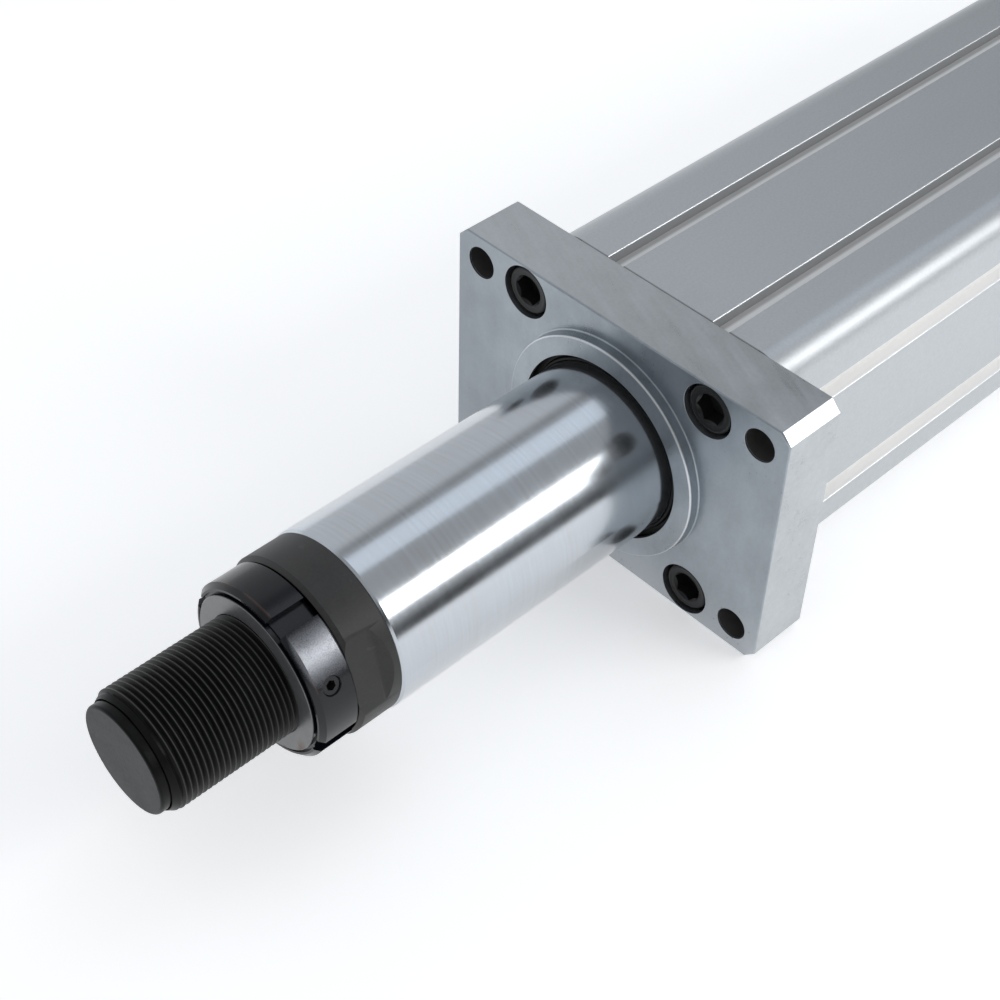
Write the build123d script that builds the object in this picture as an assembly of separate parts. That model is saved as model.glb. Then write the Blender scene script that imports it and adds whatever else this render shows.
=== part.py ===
"""Electric cylinder: a chromed rod driven by a ball screw in an extruded tube, with a front flange.

Frame: origin at the centre of the flange's front face, +X along the rod as it extends, +Z up.
All sizes are in millimetres. Outlines of turned pieces are (x, r) points.
"""

import os
from math import cos, degrees, radians, sin

from build123d import *

# Clearances
FIT = 0.02          # pressed, screwed or seated pieces, per side
RUN = 0.05          # sliding and turning pieces, per side
LOCATE = 0.05       # spigots in their bores, per side
END_PLAY = 0.5      # free length left in front of a piece at the end of its seat
SCREW_HOLE_PLAY = 0.8

# Socket-head and set screws of every size
SCREW_EDGE = 0.033   # chamfer of a head, as a share of its diameter
SCREW_SOCKET = 0.6   # depth of a hex socket, as a share of its key

# Travel
STROKE_OUT = 90.0   # rod travel from the modelled position to fully out
STROKE_IN = 110.0   # rod travel from the modelled position to fully in

# Flange plate
PLATE_W = 150.0
PLATE_OVER_TUBE = 0.25  # how far the plate stands above and below the tube
PLATE_T = 25.0
PLATE_CHAMFER = 4.0
PLATE_EDGE = 0.4
MOUNT_HOLE_D = 12.2
MOUNT_INSET_Y = 11.5
MOUNT_INSET_Z = 10.45

# Pilot ring round the rod
PILOT_D = 86.0
PILOT_H = 4.2
PILOT_EDGE = 0.5
PILOT_GAP = 3.0      # open ring between the rod and the pilot's bore

# Corner screws, M12, at both ends of the tube
CORNER_INSET_Y = 10.9
CORNER_INSET_Z = 10.4
CORNER_SCREW_D = 12.0
CORNER_HOLE_D = 13.0
CORNER_HEAD_D = 18.0
CORNER_HEAD_H = 12.0
CORNER_SINK_D = 20.0
CORNER_SINK_DEPTH = 13.2
CORNER_KEY = 10.0
CORNER_GRIP = 22.0   # thread held in the tube
CORNER_TAP_EXTRA = 6.0

# Extruded tube
TUBE_BORE_D = 90.0
TUBE_SIDE_WALL = 7.5   # thinnest wall left and right of the bore
TUBE_TOP_WALL = 7.0    # thinnest wall above and below the bore
TUBE_CORNER_R = 12.0
TUBE_CORE_D = 10.2
TOP_GROOVE_W = 7.0
TOP_GROOVE_Y = 23.8
SIDE_GROOVE_W = 8.8
SIDE_GROOVE_Z = 27.1
GROOVE_DEPTH = 4.5
KEYWAY_W = 12.0
KEYWAY_DEPTH = 3.0

# Flange spigot and what it holds
SPIGOT_LEN = 42.0
SPIGOT_CHAMFER = 1.0
LAND_GAP = 0.5       # between the rod and the flange's own lands
LIP_T = 1.6
WIPER_WALL = 6.5
WIPER_LEN = 7.0
WIPER_LIP_T = 1.4
WIPER_LIP_LEN = 3.0
WIPER_LIP_SINK = 1.0  # the lip's edge below the pilot's face
LAND_LEN = 3.0
SEAL_WALL = 6.0
SEAL_LEN = 8.0
SEAL_LEG = 1.2
SEAL_CUP_DEPTH = 5.0
BUSH_WALL = 5.0
BUSH_CHAMFER = 0.8
CIRCLIP_T = 2.5
CIRCLIP_DEPTH = 2.0
CIRCLIP_W = 4.0
CIRCLIP_OPENING = 14.0
CIRCLIP_EYE_D = 4.0
CIRCLIP_EYE_HOLE_D = 1.8
CIRCLIP_EYE_SETBACK = 3.1  # from the opening along the ring
O_RING_D = 3.0
O_RING_SQUEEZE = 0.8  # share of the ring's section that its groove holds
O_RING_SETBACK = 6.0
BUMPER_T = 8.0
BUMPER_WALL = 10.0
BUMPER_ROD_GAP = 1.45  # between the front bumper and the rod
BUMPER_EDGE = 1.5
BUMPER_GAP = 2.0     # free travel left in front of each bumper

# Piston rod
ROD_D = 65.0
ROD_WALL = 10.0
ROD_SHOWING = 122.5  # chromed rod in front of the plate
ROD_EDGE = 0.8

# Rod end
COLLAR_D = 64.0
COLLAR_LEN = 16.3
COLLAR_CHAMFER = 1.4
COLLAR_BACK_EDGE = 0.4
FLATS_ACROSS = 58.0
FLATS_TILT = 16.5    # degrees above +Y
FLATS_LEN = 10.1
FLATS_RAMP = 3.6
FLATS_FILLET = 2.5
STUD_D = 42.0
STUD_ENGAGED_D = 40.7  # pitch diameter, which stands for the thread inside the nut
STUD_LEN = 61.0
STUD_CONE_LEN = 2.8
STUD_CONE_H = 1.8
NECK_D = 37.0
NECK_LEN = 0.4
DOG_D = 37.6
DOG_LEN = 3.0
DOG_EDGE_R = 1.0
END_SPIGOT_LEN = 40.0

# Slotted locknut
NUT_D = 62.0
NUT_LEN = 15.4
NUT_BACK_CHAMFER = 0.9
NUT_FRONT_CHAMFER = 1.6
NUT_FACE_STEP = 0.8
NUT_HUB_D = 55.0
NUT_HUB_EDGE = 0.3
NUT_GROOVE_W = 1.1
NUT_GROOVE_DEPTH = 1.0
NUT_MOUTH = 0.8
NUT_SLOTS = 4
NUT_SLOT_W = 6.6
NUT_SLOT_DEPTH = 3.0
NUT_SLOT_ANGLE = 69.1
SET_SCREWS = 3
SET_SCREW_D = 6.0
SET_SCREW_ANGLE = 24.5
SET_SCREW_BACK = 7.8
SET_SCREW_SINK = 0.7
SET_SCREW_KEY = 3.0
SET_SCREW_RIM = 0.4

# Carriage on the rod's inner end
CARRIAGE_LEN = 66.0
CARRIAGE_CLEAR = 0.6
CARRIAGE_EDGE = 1.5
SOCKET_DEPTH = 30.0
GUIDE_RING_W = 10.0
GUIDE_RING_T = 2.5
GUIDE_RING_SETBACK = 4.0
MAGNET_SETBACK = 1.0
MAGNET_W = 6.0
MAGNET_T = 4.0
KEY_LEN = 28.0
KEY_SEAT = 4.0
RING_SPLIT = 2.0

# Ball screw, 32 mm with a 20 mm lead
SCREW_D = 32.0
SCREW_PASS = 4.0     # gap round the screw where it passes through a piece
TURNED_EDGE = 0.8    # chamfer of the shaft's ends and of the threaded rings on it
BALL_NUT_BODY_D = 52.0
BALL_NUT_BODY_LEN = 30.0
BALL_NUT_FLANGE_D = 80.0
BALL_NUT_FLANGE_T = 14.0
BALL_NUT_EDGE = 1.0
BALL_NUT_PCD = 66.0
BALL_NUT_SCREWS = 6
BALL_NUT_SCREW_D = 8.0
BALL_NUT_HEAD_D = 13.0
BALL_NUT_HEAD_H = 8.0
BALL_NUT_SINK = 8.6
BALL_NUT_GRIP = 14.0
BALL_NUT_KEY = 6.0
NUT_WIPER_DEPTH = 4.0
SUPPORT_LEN = 12.0
SUPPORT_EDGE = 1.5
SUPPORT_JOURNAL_D = 24.0
SUPPORT_CLIP_T = 1.5
SUPPORT_CLIP_DEPTH = 1.2
SUPPORT_CLIP_W = 4.2
SUPPORT_CLIP_OPENING = 8.0
SUPPORT_END = 3.0    # journal in front of the support bush
TIP_GAP = 4.5        # left between the screw and the rod end when the rod is in

# Screw bearings, 25 x 62 x 17, two in a row
BEARING_BORE_D = 25.0
BEARING_D = 62.0
BEARING_W = 17.0
BEARINGS = 2
BALL_D = 10.0
BALLS = 11
TRACK_DEPTH = 2.55   # how far each ring's land reaches over the balls
CAGE_T = 1.6
CAGE_W = 13.0
LOCKNUT_WALL = 5.5
LOCKNUT_LEN = 9.0
LOCKNUT_SLOTS = 4
LOCKNUT_SLOT_W = 5.0
LOCKNUT_SLOT_DEPTH = 2.0
RETAINER_STEP = 2.0  # thread outside the bearings' seat
RETAINER_LEN = 11.0
RETAINER_WALL = 12.0
RETAINER_PIN_D = 5.0
RETAINER_PIN_DEPTH = 5.0
RETAINER_PINS = 4
RETAINER_PIN_ANGLE = 45.0

# Bearing housing
HOUSING_SPIGOT = 12.0
HOUSING_WEB_T = 19.0
HOUSING_WEB_GAP = 2.0
HOUSING_SHOULDER = 4.5
HOUSING_RELIEF_LEN = 4.0
HOUSING_TAIL = 12.0

# Motor adapter and coupling
ADAPTER_LEN = 76.0
ADAPTER_FLANGE_T = 12.0
ADAPTER_BELL_INSET = 10.0  # from the tube's top to the bell
ADAPTER_WALL = 6.0
ADAPTER_SCREW_D = 8.0
ADAPTER_INSET_Y = 8.5
ADAPTER_SPACING_Z = 48.0
ADAPTER_HEAD_D = 13.0
ADAPTER_HEAD_H = 8.0
ADAPTER_GRIP = 16.0
ADAPTER_KEY = 6.0
MOTOR_PILOT_D = 80.0
MOTOR_PILOT_DEPTH = 4.0
MOTOR_HOLES = 4
MOTOR_PCD = 115.0
MOTOR_HOLE_ANGLE = 45.0
MOTOR_HOLE_D = 8.5
WINDOW_D = 18.0
WINDOW_SETBACK = 12.0
PLUG_RIM = 2.0
PLUG_RIM_T = 1.5
PLUG_DEPTH = 5.0
HUB_D = 56.0
HUB_LEN = 26.0
HUB_BORE_D = 20.0
MOTOR_BORE_D = 19.0
HUB_SETBACK = 4.0
HUB_EDGE = 0.8
HUB_SCREW_D = 6.0
HUB_SCREW_KEY = 3.0
HUB_SCREW_SINK = 0.7
JAW_LEN = 12.0
JAWS = 3
JAW_ANGLE = 36.0
JAW_INNER_D = 24.0
JAW_GAP = 0.1
SPIDER_SLACK_ANGLE = 0.4  # degrees between a jaw's side and the spider
SPIDER_HOLE_D = 12.0

# Places along the rod, worked out from the sizes above
tube_front = -PLATE_T
spigot_end = tube_front - SPIGOT_LEN
carriage_front = spigot_end - BUMPER_T - BUMPER_GAP - STROKE_OUT
carriage_back = carriage_front - CARRIAGE_LEN
rod_back = carriage_front - SOCKET_DEPTH
nut_back = carriage_back - BALL_NUT_FLANGE_T
housing_front = nut_back - STROKE_IN - BUMPER_GAP - BUMPER_T
tube_back = housing_front - HOUSING_SPIGOT
web_back = housing_front - HOUSING_WEB_T
bearing_front = web_back - HOUSING_RELIEF_LEN
bearing_back = bearing_front - BEARINGS * BEARING_W
housing_back = bearing_back - HOUSING_TAIL
adapter_back = housing_back - ADAPTER_LEN
collar_front = ROD_SHOWING + COLLAR_LEN
stud_end = collar_front + STUD_LEN
dog_end = stud_end + NECK_LEN + DOG_LEN
nut_front = collar_front + NUT_LEN
end_spigot_back = ROD_SHOWING - END_SPIGOT_LEN
support_front = end_spigot_back - STROKE_IN - TIP_GAP - SUPPORT_END
support_back = support_front - SUPPORT_LEN
hub_front = housing_back - HUB_SETBACK
hub_face = hub_front - HUB_LEN
far_hub_face = hub_face - JAW_LEN
far_hub_back = far_hub_face - HUB_LEN
window_x = housing_back - ADAPTER_FLANGE_T - WINDOW_SETBACK
motor_screw_x = far_hub_face - (window_x - hub_face)
wiper_back = PILOT_H - LIP_T - WIPER_LEN
seal_back = wiper_back - LAND_LEN - SEAL_LEN
bush_front = seal_back - LAND_LEN
circlip_front = spigot_end + 2 * CIRCLIP_T
set_screw_x = collar_front + SET_SCREW_BACK
front_ring_x = carriage_front - GUIDE_RING_SETBACK - GUIDE_RING_W
back_ring_x = carriage_back + GUIDE_RING_SETBACK
magnet_x = front_ring_x - MAGNET_SETBACK - MAGNET_W
key_mid = (magnet_x + back_ring_x + GUIDE_RING_W) / 2

# Widths, heights and radii worked out from the sizes above
tube_w = TUBE_BORE_D + 2 * TUBE_SIDE_WALL
tube_h = TUBE_BORE_D + 2 * TUBE_TOP_WALL
plate_h = tube_h + 2 * PLATE_OVER_TUBE
rod_r = ROD_D / 2
rod_bore_r = rod_r - ROD_WALL
tube_bore_r = TUBE_BORE_D / 2
spigot_r = tube_bore_r - LOCATE
o_ring_groove_r = spigot_r - O_RING_D * O_RING_SQUEEZE
wiper_r = rod_r + WIPER_WALL
seal_r = rod_r + SEAL_WALL
bush_r = rod_r + BUSH_WALL
carriage_r = tube_bore_r - CARRIAGE_CLEAR
screw_r = SCREW_D / 2
pitch_r = (BEARING_BORE_D + BEARING_D) / 4
retainer_r = BEARING_D / 2 + RETAINER_STEP
bell_r = tube_h / 2 - ADAPTER_BELL_INSET


def turned(outline):
    """Solid of revolution about the X axis from closed (x, r) points."""
    return revolve(make_face(Polyline(*outline, close=True)), axis=Axis.X)


def ring(x0, x1, r_in, r_out, edge=0.0):
    """Plain ring between two places along X, with an edge chamfer on its outside."""
    if not edge:
        return turned([(x0, r_in), (x0, r_out), (x1, r_out), (x1, r_in)])
    return turned([
        (x0, r_in), (x0, r_out - edge), (x0 + edge, r_out),
        (x1 - edge, r_out), (x1, r_out - edge), (x1, r_in),
    ])


def bar(x0, x1, r, y=0.0, z=0.0):
    """Round bar along X at (y, z)."""
    return extrude(Plane.YZ.offset(x0) * Pos(y, z) * Circle(r), x1 - x0)


def radial_bar(x, r0, r1, r):
    """Round bar along +Y between two distances from the axis."""
    return extrude(Plane(origin=(x, r0, 0), z_dir=(0, 1, 0)) * Circle(r), r1 - r0)


def corners(spacing_y, spacing_z):
    """The four (y, z) places of a rectangular hole pattern."""
    return [(sy * spacing_y / 2, sz * spacing_z / 2) for sy in (1, -1) for sz in (1, -1)]


def mount_places():
    """Places of the plate's own mounting holes."""
    return corners(PLATE_W - 2 * MOUNT_INSET_Y, plate_h - 2 * MOUNT_INSET_Z)


def tube_places():
    """Places of the screws in the tube's four corners."""
    return corners(tube_w - 2 * CORNER_INSET_Y, tube_h - 2 * CORNER_INSET_Z)


def adapter_places():
    """Places of the screws between adapter and bearing housing."""
    return corners(tube_w - 2 * ADAPTER_INSET_Y, ADAPTER_SPACING_Z)


def around(count, pcd, start=0.0):
    """(y, z) places on a pitch circle."""
    angles = [radians(start + k * 360 / count) for k in range(count)]
    return [(cos(a) * pcd / 2, sin(a) * pcd / 2) for a in angles]


def turns(count, start=0.0):
    """Even rotations about X."""
    return [Rot(start + k * 360 / count, 0, 0) for k in range(count)]


def hexagon(key):
    """Hexagon of a key's size across its flats."""
    return RegularPolygon(key / 2, 6, major_radius=False)


def slotted(nut, mid, length, outer, slots):
    """Nut with axial slots cut in its outside.

    The slots are given as their number, width, depth and starting angle.
    """
    count, width, depth, start = slots
    slot = Pos(mid, outer, 0) * Box(2 * length, 2 * depth, width)
    for turn in turns(count, start):
        nut -= turn * slot
    return nut


def cap_screw(seat, way, grip, place, shank_d, head_d, head_h, key):
    """Socket-head screw along X: head on its seat, shank running the given way (+1 or -1)."""
    top = seat - way * head_h
    head = bar(seat, top, head_d / 2, *place)
    rim = head.edges().filter_by(GeomType.CIRCLE).sort_by(Axis.X)[0 if way > 0 else -1]
    socket = Plane.YZ.offset(top) * Pos(*place) * hexagon(key)
    shank = bar(seat, seat + way * grip, shank_d / 2 - FIT, *place)
    return chamfer(rim, head_d * SCREW_EDGE) + shank - extrude(socket, way * key * SCREW_SOCKET)


def set_screw(x, r0, r1, d, key):
    """Set screw along +Y between two distances from the axis, with a hex socket in its outer end."""
    socket = Plane(origin=(x, r1, 0), z_dir=(0, 1, 0)) * hexagon(key)
    return radial_bar(x, r0, r1, d / 2 - FIT) - extrude(socket, -key)


def front_flange():
    """Flange plate with the pilot ring in front and the stepped spigot behind, in one piece."""
    section = chamfer(Rectangle(PLATE_W, plate_h).vertices(), PLATE_CHAMFER)
    plate = extrude(Plane.YZ.offset(-PLATE_T) * section, PLATE_T)
    flange = chamfer(plate.edges().filter_by(Plane.YZ), PLATE_EDGE)
    inside = rod_r + LAND_GAP
    flange += ring(-PLATE_T / 2, PILOT_H, inside, PILOT_D / 2, PILOT_EDGE)
    flange += ring(spigot_end, -PLATE_T / 2, inside, spigot_r, SPIGOT_CHAMFER)
    flange -= flange_bore()
    flange -= o_ring_groove(tube_front - O_RING_SETBACK)
    for place in mount_places():
        flange -= bar(-PLATE_T, 0, MOUNT_HOLE_D / 2, *place)
    for place in tube_places():
        flange -= bar(-CORNER_SINK_DEPTH, 0, CORNER_SINK_D / 2, *place)
        flange -= bar(-PLATE_T, 0, CORNER_HOLE_D / 2, *place)
    return flange


def flange_bore():
    """Stepped bore of the flange: lip, wiper seat, land, seal seat, land, bush seat, circlip groove."""
    bore = bar(spigot_end, PILOT_H, rod_r + LAND_GAP)
    bore += bar(PILOT_H - LIP_T, PILOT_H, rod_r + PILOT_GAP)
    bore += bar(wiper_back, PILOT_H - LIP_T, wiper_r)
    bore += bar(seal_back, seal_back + SEAL_LEN, seal_r)
    bore += bar(spigot_end, bush_front, bush_r)
    return bore + bar(circlip_front - CIRCLIP_T, circlip_front, bush_r + CIRCLIP_DEPTH)


def flange_screws():
    """Socket-head screws that hold the flange to the tube."""
    grip = PLATE_T - CORNER_SINK_DEPTH + CORNER_GRIP
    return [corner_screw(-CORNER_SINK_DEPTH, -1, grip, place) for place in tube_places()]


def corner_screw(seat, way, grip, place):
    """One of the large screws in the tube's corners."""
    return cap_screw(seat, way, grip, place, CORNER_SCREW_D, CORNER_HEAD_D, CORNER_HEAD_H, CORNER_KEY)


def profile_tube():
    """Square extrusion: rounded corners, two grooves along each face, bore, keyways and screw cores."""
    section = RectangleRounded(tube_w, tube_h, TUBE_CORNER_R) - Circle(tube_bore_r)
    top_groove = Rectangle(TOP_GROOVE_W, 2 * GROOVE_DEPTH)
    side_groove = Rectangle(2 * GROOVE_DEPTH, SIDE_GROOVE_W)
    for side in (1, -1):
        section -= Pos(0, side * tube_bore_r) * Rectangle(KEYWAY_W, 2 * KEYWAY_DEPTH)
        for across in (1, -1):
            section -= Pos(across * TOP_GROOVE_Y, side * tube_h / 2) * top_groove
            section -= Pos(side * tube_w / 2, across * SIDE_GROOVE_Z) * side_groove
    for place in tube_places():
        section -= Pos(*place) * Circle(TUBE_CORE_D / 2)
    tube = extrude(Plane.YZ.offset(tube_back) * section, tube_front - tube_back)
    tapped = CORNER_GRIP + CORNER_TAP_EXTRA
    for place in tube_places():
        tube -= bar(tube_front - tapped, tube_front, CORNER_SCREW_D / 2, *place)
        tube -= bar(tube_back, tube_back + tapped, CORNER_SCREW_D / 2, *place)
    return tube


def rod_wiper():
    """Wiper ring: a body in its groove and a sharp lip that reaches forward round the rod."""
    back, front = wiper_back + FIT, PILOT_H - LIP_T - FIT
    edge = PILOT_H - WIPER_LIP_SINK
    heel = edge - WIPER_LIP_LEN
    inner, outer = rod_r + RUN, wiper_r - FIT
    return turned([
        (back, inner + WIPER_LIP_T), (back, outer), (front, outer),
        (front, rod_r + PILOT_GAP - WIPER_LIP_T / 2), (edge, inner + WIPER_LIP_T), (edge, inner),
        (heel, inner), (heel - WIPER_LIP_T, inner + WIPER_LIP_T),
    ])


def rod_seal():
    """Cup seal behind the wiper, its two legs pointing inwards."""
    front, back = seal_back + SEAL_LEN - FIT, seal_back + FIT
    cup = back + SEAL_CUP_DEPTH
    inner, outer = rod_r + RUN, seal_r - FIT
    return turned([
        (back, inner), (back, inner + SEAL_LEG), (cup, inner + 2 * SEAL_LEG),
        (cup, outer - 2 * SEAL_LEG), (back, outer - SEAL_LEG), (back, outer), (front, outer),
        (front, inner + SEAL_LEG), (cup, inner + SEAL_LEG), (cup - SEAL_LEG, inner),
    ])


def guide_bush():
    """Plain bush that guides the rod."""
    return ring(circlip_front + FIT, bush_front - FIT, rod_r + RUN, bush_r - FIT, BUSH_CHAMFER)


def bush_circlip():
    """Internal circlip with an opening and two plier eyes, behind the bush."""
    front, back = circlip_front - FIT, circlip_front - CIRCLIP_T + FIT
    outer = bush_r + CIRCLIP_DEPTH - FIT
    inner = outer - CIRCLIP_W
    clip = ring(back, front, inner, outer)
    clip -= Pos(back, 0, outer) * Box(3 * CIRCLIP_T, CIRCLIP_OPENING, 3 * CIRCLIP_W)
    eye_angle = degrees((CIRCLIP_OPENING / 2 + CIRCLIP_EYE_SETBACK) / outer)
    for side in (1, -1):
        eye = Rot(90 + side * eye_angle, 0, 0) * Pos(0, inner + CIRCLIP_EYE_D / 4, 0)
        clip += eye * bar(back, front, CIRCLIP_EYE_D / 2)
        clip -= eye * bar(back, front, CIRCLIP_EYE_HOLE_D / 2)
    return clip


def o_ring_groove(front):
    """Cutter for a groove round a spigot."""
    return ring(front - O_RING_D, front, o_ring_groove_r, tube_bore_r)


def o_ring(front):
    """Ring of round section lying in its groove against the tube's bore."""
    half = (tube_bore_r - o_ring_groove_r) / 2
    section = Pos(front - O_RING_D / 2, o_ring_groove_r + half) * Circle(half - FIT)
    return revolve(section, axis=Axis.X)


def front_o_ring():
    """Sealing ring on the flange's spigot."""
    return o_ring(tube_front - O_RING_SETBACK)


def rear_o_ring():
    """Sealing ring on the bearing housing's spigot."""
    return o_ring(tube_back + (HOUSING_SPIGOT + O_RING_D) / 2)


def front_bumper():
    """Buffer ring on the end of the flange's spigot, clear of the rod."""
    inner, outer = rod_r + BUMPER_ROD_GAP, spigot_r - SPIGOT_CHAMFER
    return ring(spigot_end - BUMPER_T, spigot_end, inner, outer, BUMPER_EDGE)


def rear_bumper():
    """Buffer ring on the face of the bearing housing, round the screw."""
    inner = screw_r + SCREW_PASS + HOUSING_WEB_GAP
    return ring(housing_front, housing_front + BUMPER_T, inner, inner + BUMPER_WALL, BUMPER_EDGE)


def rod_tube():
    """Hollow piston rod."""
    return turned([
        (rod_back, rod_bore_r), (rod_back, rod_r), (ROD_SHOWING - ROD_EDGE, rod_r),
        (ROD_SHOWING, rod_r - ROD_EDGE), (ROD_SHOWING, rod_bore_r),
    ])


def rod_end():
    """Rod end: spigot in the rod, collar with two wrench flats, stud with a neck and a dog point."""
    collar, engaged, stud, neck, dog = COLLAR_D / 2, STUD_ENGAGED_D / 2, STUD_D / 2, NECK_D / 2, DOG_D / 2
    dog_start = stud_end + NECK_LEN
    body = turned([
        (end_spigot_back, 0), (end_spigot_back, rod_bore_r - FIT), (ROD_SHOWING, rod_bore_r - FIT),
        (ROD_SHOWING, collar - COLLAR_BACK_EDGE), (ROD_SHOWING + COLLAR_BACK_EDGE, collar),
        (collar_front - COLLAR_CHAMFER, collar), (collar_front, collar - COLLAR_CHAMFER),
        (collar_front, engaged), (nut_front, engaged), (nut_front, stud),
        (stud_end - STUD_CONE_LEN, stud), (stud_end, stud - STUD_CONE_H),
        (stud_end, neck), (dog_start, neck), (dog_start, dog), (dog_end, dog), (dog_end, 0),
    ])
    body = fillet(body.edges().filter_by(GeomType.CIRCLE).sort_by(Axis.X)[-1], DOG_EDGE_R)
    for turn in turns(2, FLATS_TILT):
        body -= turn * wrench_flat()
    return body


def wrench_flat():
    """Cutter for one wrench flat on the +Y side: a flat from the collar's face back to a ramp."""
    flat, top = FLATS_ACROSS / 2, COLLAR_D / 2 + COLLAR_CHAMFER
    ramp_front = collar_front - FLATS_LEN
    slope = FLATS_RAMP / (COLLAR_D / 2 - flat)
    outline = [
        (collar_front, flat), (ramp_front, flat),
        (ramp_front - slope * (top - flat), top), (collar_front, top),
    ]
    section = make_face(Polyline(*outline, close=True))
    root = section.vertices().sort_by_distance((ramp_front, flat))[0]
    return extrude(fillet(root, FLATS_FILLET), COLLAR_D / 2, both=True)


def locknut():
    """Slotted round nut with a raised hub face, a face groove, axial slots and radial screw holes."""
    outer, bore, hub = NUT_D / 2, STUD_ENGAGED_D / 2 + FIT, NUT_HUB_D / 2
    face = nut_front - NUT_FACE_STEP
    groove_out, groove_floor = hub + NUT_GROOVE_W, face - NUT_GROOVE_DEPTH
    nut = turned([
        (collar_front, bore), (collar_front, outer - NUT_BACK_CHAMFER),
        (collar_front + NUT_BACK_CHAMFER, outer), (face - NUT_FRONT_CHAMFER, outer),
        (face, outer - NUT_FRONT_CHAMFER), (face, groove_out), (groove_floor, groove_out),
        (groove_floor, hub), (nut_front - NUT_HUB_EDGE, hub), (nut_front, hub - NUT_HUB_EDGE),
        (nut_front, bore + NUT_MOUTH), (nut_front - NUT_MOUTH, bore),
    ])
    slots = (NUT_SLOTS, NUT_SLOT_W, NUT_SLOT_DEPTH, NUT_SLOT_ANGLE)
    nut = slotted(nut, (collar_front + nut_front) / 2, NUT_LEN, outer, slots)
    hole = radial_bar(set_screw_x, 0, outer, SET_SCREW_D / 2)
    rim = Pos(set_screw_x, outer, 0) * Rot(-90, 0, 0) * Cone(
        SET_SCREW_D / 2, SET_SCREW_D / 2 + 2 * SET_SCREW_RIM, 4 * SET_SCREW_RIM)
    for turn in turns(SET_SCREWS, SET_SCREW_ANGLE):
        nut -= turn * (hole + rim)
    return nut


def locknut_set_screws():
    """Set screws that clamp the nut on the stud."""
    inner, outer = STUD_ENGAGED_D / 2 + FIT, NUT_D / 2 - SET_SCREW_SINK
    screw = set_screw(set_screw_x, inner, outer, SET_SCREW_D, SET_SCREW_KEY)
    return [turn * screw for turn in turns(SET_SCREWS, SET_SCREW_ANGLE)]


def nut_carriage():
    """Carriage: holds the rod in front and the ball nut behind, and carries rings, magnet and keys."""
    body = ring(carriage_back, carriage_front, screw_r + SCREW_PASS, carriage_r, CARRIAGE_EDGE)
    body -= bar(rod_back, carriage_front, rod_r + FIT)
    body -= bar(carriage_back, carriage_back + BALL_NUT_BODY_LEN + END_PLAY, BALL_NUT_BODY_D / 2 + FIT)
    for x in (front_ring_x, back_ring_x):
        body -= ring(x, x + GUIDE_RING_W, tube_bore_r - GUIDE_RING_T, tube_bore_r)
    body -= ring(magnet_x, magnet_x + MAGNET_W, carriage_r - MAGNET_T, tube_bore_r)
    for turn in turns(2, 90):
        body -= turn * Pos(key_mid, tube_bore_r, 0) * Box(KEY_LEN, 2 * KEY_SEAT, KEYWAY_W - 2 * RUN)
    tapped_end = carriage_back + BALL_NUT_GRIP + 2 * END_PLAY
    for place in around(BALL_NUT_SCREWS, BALL_NUT_PCD):
        body -= bar(carriage_back, tapped_end, BALL_NUT_SCREW_D / 2, *place)
    return body


def guide_rings():
    """Split wear strips that run in the tube's bore."""
    strips = [
        ring(x + FIT, x + GUIDE_RING_W - FIT, tube_bore_r - GUIDE_RING_T + FIT, tube_bore_r - RUN)
        for x in (front_ring_x, back_ring_x)
    ]
    split = Pos(key_mid, tube_bore_r, 0) * Box(CARRIAGE_LEN, 3 * GUIDE_RING_T, RING_SPLIT)
    return [strip - split for strip in strips]


def magnet_ring():
    """Magnet for switches in the tube's grooves."""
    return ring(magnet_x + FIT, magnet_x + MAGNET_W - FIT, carriage_r - MAGNET_T + FIT, carriage_r)


def anti_rotation_keys():
    """Sliding keys on the carriage that run in the tube's keyways."""
    low, high = tube_bore_r - KEY_SEAT + FIT, tube_bore_r + KEYWAY_DEPTH - 2 * RUN
    key = Box(KEY_LEN - 2 * FIT, high - low, KEYWAY_W - 2 * RUN - 2 * FIT)
    return [turn * Pos(key_mid, (low + high) / 2, 0) * key for turn in turns(2, 90)]


def ball_nut():
    """Ball nut: body in the carriage, flange with sunk screw holes, wiper recess behind."""
    nut = ring(nut_back, carriage_back + BALL_NUT_BODY_LEN, screw_r + RUN, BALL_NUT_BODY_D / 2)
    nut += ring(nut_back, carriage_back, screw_r + RUN, BALL_NUT_FLANGE_D / 2, BALL_NUT_EDGE)
    nut -= bar(nut_back, nut_back + NUT_WIPER_DEPTH, screw_r + SCREW_PASS)
    for place in around(BALL_NUT_SCREWS, BALL_NUT_PCD):
        nut -= bar(nut_back, carriage_back, (BALL_NUT_SCREW_D + SCREW_HOLE_PLAY) / 2, *place)
        nut -= bar(nut_back, nut_back + BALL_NUT_SINK, (BALL_NUT_HEAD_D + SCREW_HOLE_PLAY) / 2, *place)
    return nut


def ball_nut_screws():
    """Screws that hold the ball nut to the carriage."""
    seat = nut_back + BALL_NUT_SINK
    grip = BALL_NUT_FLANGE_T - BALL_NUT_SINK + BALL_NUT_GRIP
    return [
        cap_screw(seat, 1, grip, place, BALL_NUT_SCREW_D, BALL_NUT_HEAD_D, BALL_NUT_HEAD_H, BALL_NUT_KEY)
        for place in around(BALL_NUT_SCREWS, BALL_NUT_PCD)
    ]


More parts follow.
